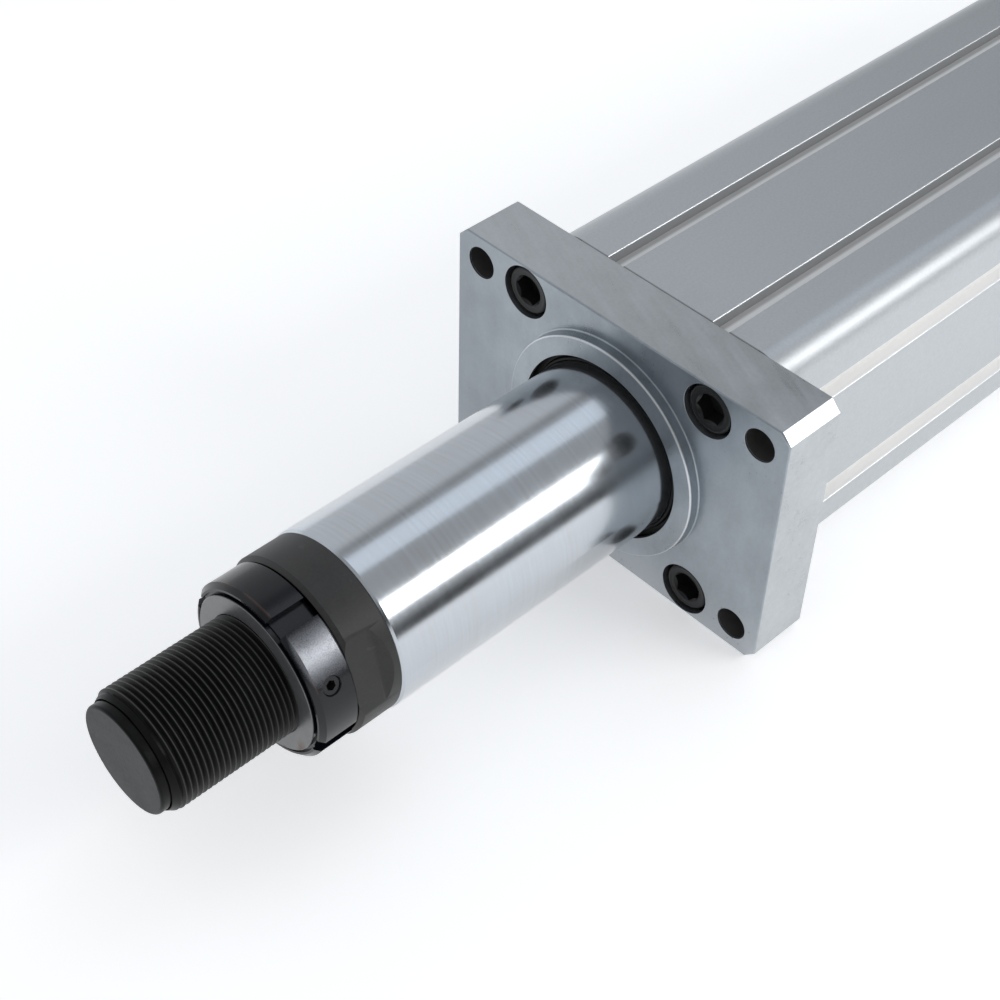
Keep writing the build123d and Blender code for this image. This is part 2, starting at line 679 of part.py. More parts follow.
def screw_shaft():
    """Ball screw: front journal, threaded length, bearing journal and drive end."""
    front_r, drive_r = SUPPORT_JOURNAL_D / 2, HUB_BORE_D / 2 - FIT
    bearing_r = BEARING_BORE_D / 2 - FIT
    tip, nut_end, end = support_front + SUPPORT_END, bearing_back - LOCKNUT_LEN, hub_face + HUB_EDGE
    shaft = turned([
        (end, 0), (end, drive_r - TURNED_EDGE), (end + TURNED_EDGE, drive_r), (nut_end, drive_r),
        (nut_end, bearing_r), (bearing_front, bearing_r), (bearing_front, screw_r),
        (support_back, screw_r), (support_back, front_r), (tip, front_r), (tip, 0),
    ])
    groove_r = front_r - SUPPORT_CLIP_DEPTH
    return shaft - ring(support_front, support_front + SUPPORT_CLIP_T, groove_r, screw_r)


def screw_support_bush():
    """Plastic bush at the screw's front end that runs inside the hollow rod."""
    inner = SUPPORT_JOURNAL_D / 2 + FIT
    return ring(support_back + FIT, support_front, inner, rod_bore_r - RUN, SUPPORT_EDGE)


def support_circlip():
    """Circlip in front of the support bush."""
    inner = SUPPORT_JOURNAL_D / 2 - SUPPORT_CLIP_DEPTH + FIT
    back, front = support_front + FIT, support_front + SUPPORT_CLIP_T - FIT
    clip = ring(back, front, inner, inner + SUPPORT_CLIP_W)
    opening = Box(4 * SUPPORT_CLIP_T, SUPPORT_CLIP_OPENING, 3 * SUPPORT_CLIP_W)
    return clip - Pos(back, 0, inner) * opening


def bearing_mids():
    """Middle of each bearing along X."""
    return [bearing_front - BEARING_W * (k + 0.5) for k in range(BEARINGS)]


def race(x_mid, r_in, r_out):
    """Bearing ring with the ball track cut in its face."""
    track = revolve(Pos(x_mid, pitch_r) * Circle(BALL_D / 2 + RUN), axis=Axis.X)
    return ring(x_mid - BEARING_W / 2 + FIT, x_mid + BEARING_W / 2 - FIT, r_in, r_out) - track


def bearing_outer_rings():
    """Outer rings, held in the housing."""
    return [race(x, pitch_r + BALL_D / 2 - TRACK_DEPTH, BEARING_D / 2 - FIT) for x in bearing_mids()]


def bearing_inner_rings():
    """Inner rings, held on the screw's journal."""
    return [race(x, BEARING_BORE_D / 2, pitch_r - BALL_D / 2 + TRACK_DEPTH) for x in bearing_mids()]


def bearing_ball_cages():
    """A row of balls held in a cage ring for each bearing."""
    rows = []
    for x in bearing_mids():
        row = ring(x - CAGE_W / 2, x + CAGE_W / 2, pitch_r - CAGE_T / 2, pitch_r + CAGE_T / 2)
        for place in around(BALLS, 2 * pitch_r):
            row += Pos(x, *place) * Rot(0, 90, 0) * Sphere(BALL_D / 2)
        rows.append(row)
    return rows


def bearing_locknut():
    """Slotted nut that clamps the inner rings against the screw's shoulder."""
    outer = BEARING_BORE_D / 2 + LOCKNUT_WALL
    nut = ring(bearing_back - LOCKNUT_LEN, bearing_back, BEARING_BORE_D / 2, outer, TURNED_EDGE)
    slots = (LOCKNUT_SLOTS, LOCKNUT_SLOT_W, LOCKNUT_SLOT_DEPTH, 0.0)
    return slotted(nut, bearing_back - LOCKNUT_LEN / 2, LOCKNUT_LEN, outer, slots)


def bearing_retainer():
    """Threaded ring that clamps the outer rings in the housing, with pin holes for its key."""
    back, inner = bearing_back - RETAINER_LEN, retainer_r - RETAINER_WALL
    body = ring(back, bearing_back, inner, retainer_r - FIT, TURNED_EDGE)
    for place in around(RETAINER_PINS, retainer_r + inner, RETAINER_PIN_ANGLE):
        body -= bar(back, back + RETAINER_PIN_DEPTH, RETAINER_PIN_D / 2, *place)
    return body


def bearing_housing():
    """Bearing housing: spigot in the tube, web, bearing seat and retainer thread."""
    section = RectangleRounded(tube_w, tube_h, TUBE_CORNER_R)
    body = extrude(Plane.YZ.offset(housing_back) * section, tube_back - housing_back)
    web_r = screw_r + HOUSING_WEB_GAP
    body += ring(web_back, housing_front, web_r, spigot_r, SPIGOT_CHAMFER)
    body -= o_ring_groove(tube_back + (HOUSING_SPIGOT + O_RING_D) / 2)
    body -= bar(housing_back, housing_front, web_r)
    body -= bar(bearing_front, web_back, BEARING_D / 2 - HOUSING_SHOULDER)
    body -= bar(bearing_back, bearing_front, BEARING_D / 2)
    body -= bar(housing_back, bearing_back, retainer_r)
    for place in tube_places():
        body -= bar(housing_back, housing_back + CORNER_SINK_DEPTH, CORNER_SINK_D / 2, *place)
        body -= bar(housing_back, tube_back, CORNER_HOLE_D / 2, *place)
    for place in adapter_places():
        body -= bar(housing_back, housing_back + ADAPTER_GRIP + 2 * END_PLAY, ADAPTER_SCREW_D / 2, *place)
    return body


def housing_screws():
    """Socket-head screws that hold the bearing housing to the tube."""
    seat = housing_back + CORNER_SINK_DEPTH
    grip = tube_back - seat + CORNER_GRIP
    return [corner_screw(seat, 1, grip, place) for place in tube_places()]


def motor_adapter():
    """Bell between the bearing housing and a motor, with a window over the coupling."""
    front = RectangleRounded(tube_w, tube_h, TUBE_CORNER_R)
    rear = RectangleRounded(tube_w, plate_h, TUBE_CORNER_R)
    bell = bar(adapter_back, housing_back, bell_r)
    bell += extrude(Plane.YZ.offset(housing_back) * front, -ADAPTER_FLANGE_T)
    bell += extrude(Plane.YZ.offset(adapter_back) * rear, ADAPTER_FLANGE_T)
    bell -= bar(adapter_back, housing_back, bell_r - ADAPTER_WALL)
    bell -= bar(adapter_back, adapter_back + MOTOR_PILOT_DEPTH, MOTOR_PILOT_D / 2)
    hole_r = (ADAPTER_SCREW_D + SCREW_HOLE_PLAY) / 2
    for place in adapter_places():
        bell -= bar(housing_back - ADAPTER_FLANGE_T, housing_back, hole_r, *place)
    for place in around(MOTOR_HOLES, MOTOR_PCD, MOTOR_HOLE_ANGLE):
        bell -= bar(adapter_back, adapter_back + ADAPTER_FLANGE_T, MOTOR_HOLE_D / 2, *place)
    return bell - Rot(90, 0, 0) * radial_bar(window_x, 0, bell_r, WINDOW_D / 2)


def adapter_screws():
    """Socket-head screws that hold the adapter to the bearing housing."""
    seat, grip = housing_back - ADAPTER_FLANGE_T, ADAPTER_FLANGE_T + ADAPTER_GRIP
    return [
        cap_screw(seat, 1, grip, place, ADAPTER_SCREW_D, ADAPTER_HEAD_D, ADAPTER_HEAD_H, ADAPTER_KEY)
        for place in adapter_places()
    ]


def access_plug():
    """Rubber plug in the adapter's window."""
    top = bell_r + PLUG_RIM_T
    plug = radial_bar(window_x, bell_r - PLUG_DEPTH, top, WINDOW_D / 2 - FIT)
    rim = radial_bar(window_x, bell_r - PLUG_RIM_T, top, WINDOW_D / 2 + PLUG_RIM)
    rim -= bar(window_x - WINDOW_D, window_x + WINDOW_D, bell_r + FIT)
    return Rot(90, 0, 0) * (plug + rim)


def wedge(x0, x1, angle):
    """Wedge from the axis outwards, centred on +Y."""
    half, reach = radians(angle / 2), HUB_D
    side_y, side_z = reach * cos(half), reach * sin(half)
    face = make_face(Polyline((0, 0), (side_y, -side_z), (side_y, side_z), close=True))
    return extrude(Plane.YZ.offset(x0) * face, x1 - x0)


def hub(x0, x1, bore_d, screw_x, jaw_face, start):
    """Coupling hub with a radial screw hole and curved jaws on one face."""
    body = ring(x0, x1, bore_d / 2, HUB_D / 2, HUB_EDGE)
    body -= Rot(90, 0, 0) * radial_bar(screw_x, 0, HUB_D / 2, HUB_SCREW_D / 2)
    way = -1 if jaw_face == x0 else 1
    ends = sorted((jaw_face - way * HUB_EDGE, jaw_face + way * (JAW_LEN - JAW_GAP)))
    jaw_ring = ring(*ends, JAW_INNER_D / 2, HUB_D / 2 - HUB_EDGE)
    for turn in turns(JAWS, start):
        body += jaw_ring & (turn * wedge(*ends, JAW_ANGLE))
    return body


def drive_hub():
    """Coupling hub on the screw's drive end."""
    return hub(hub_face, hub_front, HUB_BORE_D, window_x, hub_face, 0)


def motor_hub():
    """Coupling hub that waits for a motor's shaft."""
    return hub(far_hub_back, far_hub_face, MOTOR_BORE_D, motor_screw_x, far_hub_face, 180 / JAWS)


def coupling_spider():
    """Elastic star between the two hubs' jaws."""
    star = ring(far_hub_face + JAW_GAP, hub_face - JAW_GAP, SPIDER_HOLE_D / 2, HUB_D / 2 - HUB_EDGE)
    reach = ring(far_hub_face, hub_face, JAW_INNER_D / 2 - 2 * JAW_GAP, HUB_D)
    for turn in turns(2 * JAWS):
        star -= reach & (turn * wedge(far_hub_face, hub_face, JAW_ANGLE + 2 * SPIDER_SLACK_ANGLE))
    return star


def hub_set_screws():
    """Set screws that hold the hub on the screw's end and wait for the motor's shaft."""
    top = HUB_D / 2 - HUB_SCREW_SINK
    drive = set_screw(window_x, HUB_BORE_D / 2, top, HUB_SCREW_D, HUB_SCREW_KEY)
    motor = set_screw(motor_screw_x, MOTOR_BORE_D / 2 + FIT, top, HUB_SCREW_D, HUB_SCREW_KEY)
    return [Rot(90, 0, 0) * screw for screw in (drive, motor)]


PIECES = [
    front_flange, flange_screws, profile_tube, rod_wiper, rod_seal, guide_bush, bush_circlip,
    front_o_ring, front_bumper, rear_bumper, rear_o_ring, bearing_housing, housing_screws,
    bearing_outer_rings, bearing_retainer, motor_adapter, adapter_screws, access_plug,
    rod_tube, rod_end, locknut, locknut_set_screws, nut_carriage, guide_rings, magnet_ring,
    anti_rotation_keys, ball_nut, ball_nut_screws,
    screw_shaft, screw_support_bush, support_circlip, bearing_inner_rings, bearing_locknut,
    drive_hub, motor_hub, coupling_spider, hub_set_screws,
    bearing_ball_cages,
]


def main():
    """Build every piece and write it to its own file."""
    os.makedirs("parts", exist_ok=True)
    for piece in PIECES:
        shape = piece()
        if isinstance(shape, (list, tuple)):
            shape = Compound(children=[s.solid() for s in shape])
        export_step(shape, f"parts/{piece.__name__}.step")


main()
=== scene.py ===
"""Looks of an electric cylinder: finishes, thread, screws, studio and camera round the fixed frame.

Origin at the centre of the flange plate's front face, +X along the rod, +Z up. Places and sizes are in
millimetres unless they are said to be in metres, and MM turns them into the scene's metres.
"""

import logging
import math
from contextlib import contextmanager
from dataclasses import dataclass
from enum import Enum
from typing import Iterable, Iterator, Sequence, Union

import bpy
from mathutils import Matrix, Vector


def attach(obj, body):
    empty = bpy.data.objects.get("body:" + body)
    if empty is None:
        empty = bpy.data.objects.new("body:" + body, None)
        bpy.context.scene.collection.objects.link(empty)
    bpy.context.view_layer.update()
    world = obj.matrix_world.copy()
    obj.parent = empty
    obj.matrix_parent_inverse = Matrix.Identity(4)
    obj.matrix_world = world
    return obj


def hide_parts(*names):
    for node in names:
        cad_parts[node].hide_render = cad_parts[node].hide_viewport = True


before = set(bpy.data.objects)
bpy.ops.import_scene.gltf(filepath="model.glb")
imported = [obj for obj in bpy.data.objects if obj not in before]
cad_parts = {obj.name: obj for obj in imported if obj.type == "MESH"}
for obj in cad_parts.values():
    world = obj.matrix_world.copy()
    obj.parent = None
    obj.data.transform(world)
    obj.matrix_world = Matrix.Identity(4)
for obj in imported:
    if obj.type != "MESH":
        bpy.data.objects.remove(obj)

MM = 0.001
MERGE_MM = 0.002
OVERLAP_MM = 0.01
FLAT_DEGREES = 0.5
LOG = logging.getLogger("scene")
Piece = bpy.types.Object
Material = bpy.types.Material
Number = Union[float, int]
Colour = tuple[float, float, float]
Point = tuple[float, float]
Place = tuple[float, float, float]
WHITE: Colour = (1.0, 1.0, 1.0)
BLACK: Colour = (0.0, 0.0, 0.0)


class Axis(Enum):
    """The part's axes as unit vectors."""

    X = (1.0, 0.0, 0.0)
    Y = (0.0, 1.0, 0.0)
    Z = (0.0, 0.0, 1.0)


class Value:
    """A shader socket that can be used in Python expressions."""

    def __init__(self, graph: "Graph", socket: bpy.types.NodeSocket) -> None:
        """Wrap a socket.

        Args:
            graph: The node graph that the socket belongs to.
            socket: An output socket that carries a number.
        """
        self.graph = graph
        self.socket = socket

    def __add__(self, other: "Value | Number") -> "Value":
        """Sum."""
        return self.graph.math("ADD", self, other)

    def __radd__(self, other: Number) -> "Value":
        """Sum with a number in front."""
        return self.graph.math("ADD", other, self)

    def __sub__(self, other: "Value | Number") -> "Value":
        """Difference."""
        return self.graph.math("SUBTRACT", self, other)

    def __rsub__(self, other: Number) -> "Value":
        """Difference from a number."""
        return self.graph.math("SUBTRACT", other, self)

    def __mul__(self, other: "Value | Number") -> "Value":
        """Product."""
        return self.graph.math("MULTIPLY", self, other)

    def __rmul__(self, other: Number) -> "Value":
        """Product with a number in front."""
        return self.graph.math("MULTIPLY", other, self)

    def __truediv__(self, other: "Value | Number") -> "Value":
        """Quotient."""
        return self.graph.math("DIVIDE", self, other)

    def __pow__(self, other: "Value | Number") -> "Value":
        """Power."""
        return self.graph.math("POWER", self, other)

    def __gt__(self, other: "Value | Number") -> "Value":
        """1 where this is greater."""
        return self.graph.math("GREATER_THAN", self, other)

    def __lt__(self, other: "Value | Number") -> "Value":
        """1 where this is less."""
        return self.graph.math("LESS_THAN", self, other)

    def __abs__(self) -> "Value":
        """Size without sign."""
        return self.graph.math("ABSOLUTE", self)

    def clamp(self) -> "Value":
        """Kept between 0 and 1."""
        return self.graph.math("ADD", self, 0.0, clamp=True)

    def near(self, centre: float, width: float) -> "Value":
        """1 at a centre, falling to 0 at a width from it.

        Args:
            centre: Value at the peak.
            width: Distance at which it has fallen to 0.

        Returns:
            A peaked mask.
        """
        return (1.0 - abs(self - centre) / width).clamp()

    def step(self, start: float, end: float) -> "Value":
        """Smooth rise from 0 at start to 1 at end.

        Args:
            start: Value where the rise starts.
            end: Value where it ends, which may be lower than start.

        Returns:
            A mask between 0 and 1.
        """
        share = ((self - start) / (end - start)).clamp()
        return share * share * (3.0 - 2.0 * share)


def distance(one: Value, other: Value) -> Value:
    """Distance from two coordinates square to each other.

    Args:
        one: First coordinate.
        other: Second coordinate.

    Returns:
        The distance.
    """
    return (one * one + other * other) ** 0.5


class Graph:
    """A node graph with short ways to add nodes."""

    def __init__(self, tree: bpy.types.NodeTree) -> None:
        """Start an empty graph.

        Args:
            tree: The node tree of a material or a world.
        """
        self.tree = tree
        self.tree.nodes.clear()

    def node(self, kind: str, inputs: dict[str | int, object], **settings: object) -> bpy.types.Node:
        """Add any node.

        Args:
            kind: The node's type name.
            inputs: Values or links of its sockets, by name or number.
            settings: Its own settings, which are set first.

        Returns:
            The node.
        """
        made = self.tree.nodes.new(kind)
        for key, setting in settings.items():
            setattr(made, key, setting)
        for key, given in inputs.items():
            self.feed(made.inputs[key], given)
        return made

    def feed(self, socket: bpy.types.NodeSocket, given: object) -> None:
        """Link or set one input.

        Args:
            socket: The input socket.
            given: A Value, a socket, a number or a colour.
        """
        if isinstance(given, Value):
            self.tree.links.new(given.socket, socket)
        elif isinstance(given, bpy.types.NodeSocket):
            self.tree.links.new(given, socket)
        else:
            socket.default_value = given

    def math(self, operation: str, *values: "Value | Number", clamp: bool = False) -> Value:
        """Add a Math node.

        Args:
            operation: Name of the Math operation.
            values: Its values in order.
            clamp: Whether the result is kept between 0 and 1.

        Returns:
            The result.
        """
        made = self.node("ShaderNodeMath", dict(enumerate(values)), operation=operation, use_clamp=clamp)
        return Value(self, made.outputs[0])

    def split(self, vector: bpy.types.NodeSocket) -> tuple[Value, Value, Value]:
        """The three numbers of a vector.

        Args:
            vector: The vector's socket.

        Returns:
            Its X, Y and Z.
        """
        parts = self.node("ShaderNodeSeparateXYZ", {0: vector})
        return tuple(Value(self, parts.outputs[k]) for k in range(3))

    def mix(self, share: "Value | Number", low: "Colour | bpy.types.NodeSocket",
            high: "Colour | bpy.types.NodeSocket") -> bpy.types.NodeSocket:
        """Mix two colours.

        Args:
            share: Share of the second colour.
            low: Colour at 0.
            high: Colour at 1.

        Returns:
            The mixed colour.
        """
        ends = [(*c, 1.0) if isinstance(c, tuple) else c for c in (low, high)]
        made = self.node("ShaderNodeMix", {0: share, 6: ends[0], 7: ends[1]}, data_type="RGBA")
        return made.outputs[2]

    def shown(self) -> Value:
        """1 for the rays that show a background: straight to the camera, mirrored or through glass."""
        path = self.node("ShaderNodeLightPath", {}).outputs
        kinds = [Value(self, path[kind]) for kind in ("Is Camera Ray", "Is Glossy Ray", "Is Transmission Ray")]
        return (kinds[0] + kinds[1] + kinds[2]).clamp()


class Shader(Graph):
    """A procedural material, built from the coordinates of the piece itself."""

    def __init__(self, name: str) -> None:
        """Start an empty material.

        Args:
            name: The material's name.
        """
        self.material = bpy.data.materials.new(name)
        self.material.use_nodes = True
        super().__init__(self.material.node_tree)
        self.bsdf = self.node("ShaderNodeBsdfPrincipled", {})
        self.node("ShaderNodeOutputMaterial", {"Surface": self.bsdf.outputs["BSDF"]})
        self.place = self.node("ShaderNodeTexCoord", {}).outputs["Object"]

    def axes(self) -> tuple[Value, Value, Value]:
        """The place along each axis."""
        return self.split(self.stretched((1 / MM,) * 3))

    def radius(self) -> Value:
        """Distance from the rod's axis."""
        _, y, z = self.axes()
        return distance(y, z)

    def stretched(self, stretch: Place, turn: float = 0.0) -> bpy.types.NodeSocket:
        """Coordinates stretched along each axis, for grain and lines.

        Args:
            stretch: Factor along X, Y and Z.
            turn: Degrees by which the pattern is first turned about +Z.

        Returns:
            The stretched coordinates.
        """
        place = self.place
        if turn:
            level = (0.0, 0.0, math.radians(turn))
            place = self.node("ShaderNodeMapping", {"Vector": place, "Rotation": level}).outputs[0]
        return self.node("ShaderNodeMapping", {"Vector": place, "Scale": stretch}).outputs[0]

    def noise(self, scale: float, stretch: Place = (1.0, 1.0, 1.0), detail: float = 3.0,
              roughness: float = 0.55, turn: float = 0.0) -> Value:
        """Cloudy noise about 0.5.

        Args:
            scale: Lumps per metre.
            stretch: Factor along each axis.
            detail: Number of finer layers.
            roughness: Share of each finer layer.
            turn: Degrees by which the pattern is turned about +Z.

        Returns:
            The noise.
        """
        made = self.node("ShaderNodeTexNoise", {
            "Vector": self.stretched(stretch, turn), "Scale": scale, "Detail": detail, "Roughness": roughness,
        })
        return Value(self, made.outputs["Fac"])

    def cells(self, scale: float) -> Value:
        """Distance to the nearest of scattered points.

        Args:
            scale: Points per metre.

        Returns:
            The distance, in units of the spacing.
        """
        made = self.node("ShaderNodeTexVoronoi", {"Vector": self.place, "Scale": scale})
        return Value(self, made.outputs["Distance"])

    def finish(self, colour: "Colour | bpy.types.NodeSocket", roughness: "Value | Number",
               metallic: "Value | Number" = 1.0, height: "Value | None" = None, relief: float = 0.02,
               **sockets: Number) -> Material:
        """Connect the surface.

        Args:
            colour: Base colour.
            roughness: Roughness.
            metallic: Share of bare metal.
            height: Height pattern between 0 and 1, or None.
            relief: Height that a 1 stands for.
            sockets: Further shader values that are the same all over.

        Returns:
            The finished material.
        """
        given: dict[str, object] = {"Base Color": colour, "Roughness": roughness, "Metallic": metallic}
        if isinstance(colour, tuple):
            given["Base Color"] = (*colour, 1.0)
        if height is not None:
            bump = self.node("ShaderNodeBump", {"Height": height, "Distance": relief * MM, "Strength": 1.0})
            given["Normal"] = bump.outputs[0]
        for key, source in {**given, **{k.replace("_", " "): v for k, v in sockets.items()}}.items():
            self.feed(self.bsdf.inputs[key], source)
        return self.material


@dataclass(frozen=True)
class GroundPlate:
    """Zinc-plated steel plate: bluish front darkened as painted shade, turned rings near the pilot, ground
    sides, scratches.

    Holes are given as (y, z). The other pairs are where a mask starts and where it ends.
    """

    # Painted shade: the front's colour is darker than the sides', standing in for shade on the front.
    front: Colour = (0.41, 0.45, 0.485)
    sides: Colour = (0.57, 0.595, 0.615)
    # Painted highlight: the pale colour of the line round the pilot's rim.
    worn: Colour = (0.88, 0.89, 0.90)
    dull_share: float = 0.74
    rust: Colour = (0.10, 0.055, 0.035)
    # Painted shade inside the holes and the bore.
    hole_shade: Colour = (0.045, 0.038, 0.032)
    roughness: float = 0.31
    metallic: float = 0.93
    relief: float = 0.018
    front_skin: Point = (-0.7, -0.2)
    # Painted light: where the front turns lighter towards its bottom.
    painted_light_low_end: Point = (-28.0, -54.0)
    # Painted shade: where the front darkens towards its left end.
    painted_shade_left_end: Point = (-35.0, -75.0)
    ring_pitch: float = 0.7
    ring_reach: Point = (58.0, 44.0)
    holes: Point = (63.5, 41.8)
    hole_r: float = 6.25
    hole_mouth: Point = (-0.5, -1.0)
    rusty_hole: Point = (63.5, -41.8)
    rust_reach: Point = (10.0, 7.0)
    pilot_r: float = 43.0
    pilot_h: float = 4.2
    bore_r: float = 35.6

    def dull(self, colour: Colour) -> Colour:
        """The same colour made darker: where the plating is cloudy, and taken twice as painted shade.

        Args:
            colour: The clean colour.

        Returns:
            The darker colour.
        """
        return tuple(c * self.dull_share for c in colour)

    def material(self) -> Material:
        """Build the finish."""
        s = Shader("ground_plate")
        x, y, z = s.axes()
        radius = s.radius()
        on_front = x.step(*self.front_skin)
        phase = radius * (2 * math.pi / self.ring_pitch) + s.noise(60.0) * 3.0
        rings = (s.math("SINE", phase) * 0.5 + 0.5) * on_front * radius.step(*self.ring_reach)
        clouds = s.noise(32.0, detail=6.0, roughness=0.6)
        grain = s.noise(800.0, detail=2.0)
        slanted = s.noise(300.0, (1.0, 0.10, 1.0), 3.0, 0.6, turn=22.0)
        upright = s.noise(420.0, (1.0, 1.0, 0.05), 3.0, 0.6)
        blotches = s.noise(75.0, (1.0, 1.0, 0.7), 4.0, 0.6)
        strokes = slanted * (1.0 - on_front) + (upright * 0.3 + 0.35) * on_front
        tone = clouds * 1.7 + strokes * 0.9 + grain * 0.5 + (blotches * 1.7 - 0.85) * on_front - 1.0
        # Painted shade: the front face takes the darker front colour.
        colour = s.mix(on_front, s.mix(tone.clamp(), self.dull(self.sides), self.sides),
                       s.mix(tone.clamp(), self.dull(self.front), self.front))
        # Painted light: the front is lightened towards its bottom, a painted reflection of the floor.
        colour = s.mix(z.step(*self.painted_light_low_end) * on_front * 0.55, colour, self.sides)
        # Painted shade: the front is darkened towards its left end.
        colour = s.mix(y.step(*self.painted_shade_left_end) * on_front * 0.30, colour, self.dull(self.dull(self.front)))
        # Painted highlight: a pale line round the pilot ring's front edge.
        rim = radius.near(self.pilot_r - 0.2, 0.45) * x.step(self.pilot_h - 0.7, self.pilot_h)
        colour = s.mix(rim, colour, self.worn)
        speck = (1.0 - s.cells(420.0) * 5.0).clamp()
        near_hole = distance(y - self.rusty_hole[0], z - self.rusty_hole[1]).step(*self.rust_reach)
        spread = (s.noise(22.0).step(0.60, 0.66) * 0.30 + near_hole * 0.9).clamp()
        colour = s.mix(speck * spread, colour, self.rust)
        # Painted shade: the mounting holes and the pilot's bore are darkened inside.
        hole = distance(abs(y) - self.holes[0], abs(z) - self.holes[1]) < self.hole_r
        inside = (hole * x.step(*self.hole_mouth) + (radius < self.bore_r)).clamp()
        colour = s.mix(inside * (0.70 + clouds * 0.4).clamp(), colour, self.hole_shade)
        rough = self.roughness + (clouds - 0.5) * 0.20 + (strokes - 0.5) * 0.20 + inside * 0.2
        height = grain * 0.12 + rings * 0.5 + strokes * 0.35
        return s.finish(colour, rough, self.metallic - inside * 0.5, height, self.relief)


@dataclass(frozen=True)
class SatinAnodised:
    """Anodised extrusion: frosted grain, painted light and shade in the grooves, and a dark line against the
    flange.
    """

    base: Colour = (0.53, 0.555, 0.575)
    pale: Colour = (0.62, 0.64, 0.655)
    # Painted light: the pale colour of the grooves, as where light falls into them.
    groove_light: Colour = (0.95, 0.94, 0.92)
    shade: Colour = (0.31, 0.315, 0.32)
    # Painted highlight: the near-white colour of the grooves' rounded lips.
    lip: Colour = (0.95, 0.96, 0.97)
    dirt: Colour = (0.05, 0.05, 0.05)
    shaded: Colour = (0.40, 0.40, 0.395)
    roughness: float = 0.45
    half_w: float = 52.5
    half_h: float = 52.0
    groove: float = 4.5
    groove_y: float = 23.8
    # Painted light: the lit strip along one side of each top groove.
    light_strip_side: float = 0.3
    light_strip_reach: float = 2.4
    flat: float = 39.8
    front: float = -25.0
    smudge_len: float = 14.0
    relief: float = 0.008

    def inside(self, depth: Value, across: Value, half: float) -> tuple[Value, Value, Value]:
        """Masks of a face's grooves.

        Args:
            depth: Distance from the middle of the tube, square to the face.
            across: Distance from the middle along the face.
            half: Half the tube's size square to the face.

        Returns:
            All of the grooves' surface, their walls alone, and their rounded lips.
        """
        flat = across < self.flat
        all_of_it = flat * (depth > half - self.groove - 0.3) * (depth < half - 0.25)
        lips = flat * (depth > half - 0.40) * (depth < half - 0.02)
        return all_of_it, all_of_it * (depth > half - self.groove + 0.15), lips

    def material(self) -> Material:
        """Build the finish."""
        s = Shader("satin_anodised")
        x, y, z = s.axes()
        lines = s.noise(500.0, (0.010, 1.0, 1.0), 2.0)
        grain = s.noise(1000.0, detail=3.0, roughness=0.7)
        clouds = s.noise(16.0, (0.4, 1.0, 1.0), 4.0)
        colour = s.mix((grain * 2.0 + clouds * 0.5 + lines * 0.15 - 0.85).clamp(), self.base, self.pale)
        top, top_wall, top_lips = self.inside(abs(z), abs(y), self.half_h)
        side, _, side_lips = self.inside(abs(y), abs(z), self.half_w)
        matte = (top + side).clamp()
        lips = (top_lips + side_lips).clamp()
        # Painted light: the grooves are painted pale, as lit.
        colour = s.mix(matte * (0.75 + clouds * 0.4).clamp(), colour, self.groove_light)
        # Painted light and shade: in the top grooves only a strip along one side keeps the painted light; the
        # rest of the floor gets painted shade.
        strip = sum(y.near(self.light_strip_side + g, self.light_strip_reach) for g in (self.groove_y, -self.groove_y))
        colour = s.mix(top * (1.0 - strip * 2.0).clamp() * 0.8, colour, self.shaded)
        colour = s.mix(top_wall, colour, self.shade)
        # Painted highlight: the grooves' rounded lips are painted near white.
        colour = s.mix(lips, colour, self.lip)
        smudge = x.step(self.front - self.smudge_len, self.front) * clouds.step(0.50, 0.66) * 0.22
        against = x.step(self.front - 0.7, self.front - 0.2) * 0.7
        colour = s.mix((against + smudge).clamp(), colour, self.dirt)
        rough = self.roughness + (grain - 0.5) * 0.20 + (clouds - 0.5) * 0.06 + matte * 0.15 - lips * 0.10
        metal = 0.90 - matte * 0.80
        return s.finish(colour, rough, metal, grain * 0.8 + lines * 0.2, self.relief)


@dataclass(frozen=True)
class HardChrome:
    """Ground and chromed rod: grinding lines round it, faint haze and a bluish mirror."""

    base: Colour = (0.565, 0.61, 0.655)
    warm: Colour = (0.52, 0.53, 0.545)
    roughness: float = 0.175
    metallic: float = 0.94
    relief: float = 0.0032

    def material(self) -> Material:
        """Build the finish."""
        s = Shader("hard_chrome")
        lines = s.noise(900.0, (1.0, 0.03, 0.03), 3.0, 0.7)
        bands = s.noise(70.0, (1.0, 0.05, 0.05), 4.0)
        smear = s.noise(24.0, (0.3, 1.0, 1.0), 5.0)
        scratches = s.noise(300.0, (0.15, 1.0, 1.4), 2.0).step(0.70, 0.76)
        tone = (bands * 0.6 + smear * 0.9 + lines * 1.3 - 0.9).clamp()
        colour = s.mix(tone, self.warm, self.base)
        worn = (bands - 0.5) * 0.08 + (smear - 0.5) * 0.14 + (lines - 0.5) * 0.06 + scratches * 0.04
        return s.finish(colour, self.roughness + worn, self.metallic, lines, self.relief)


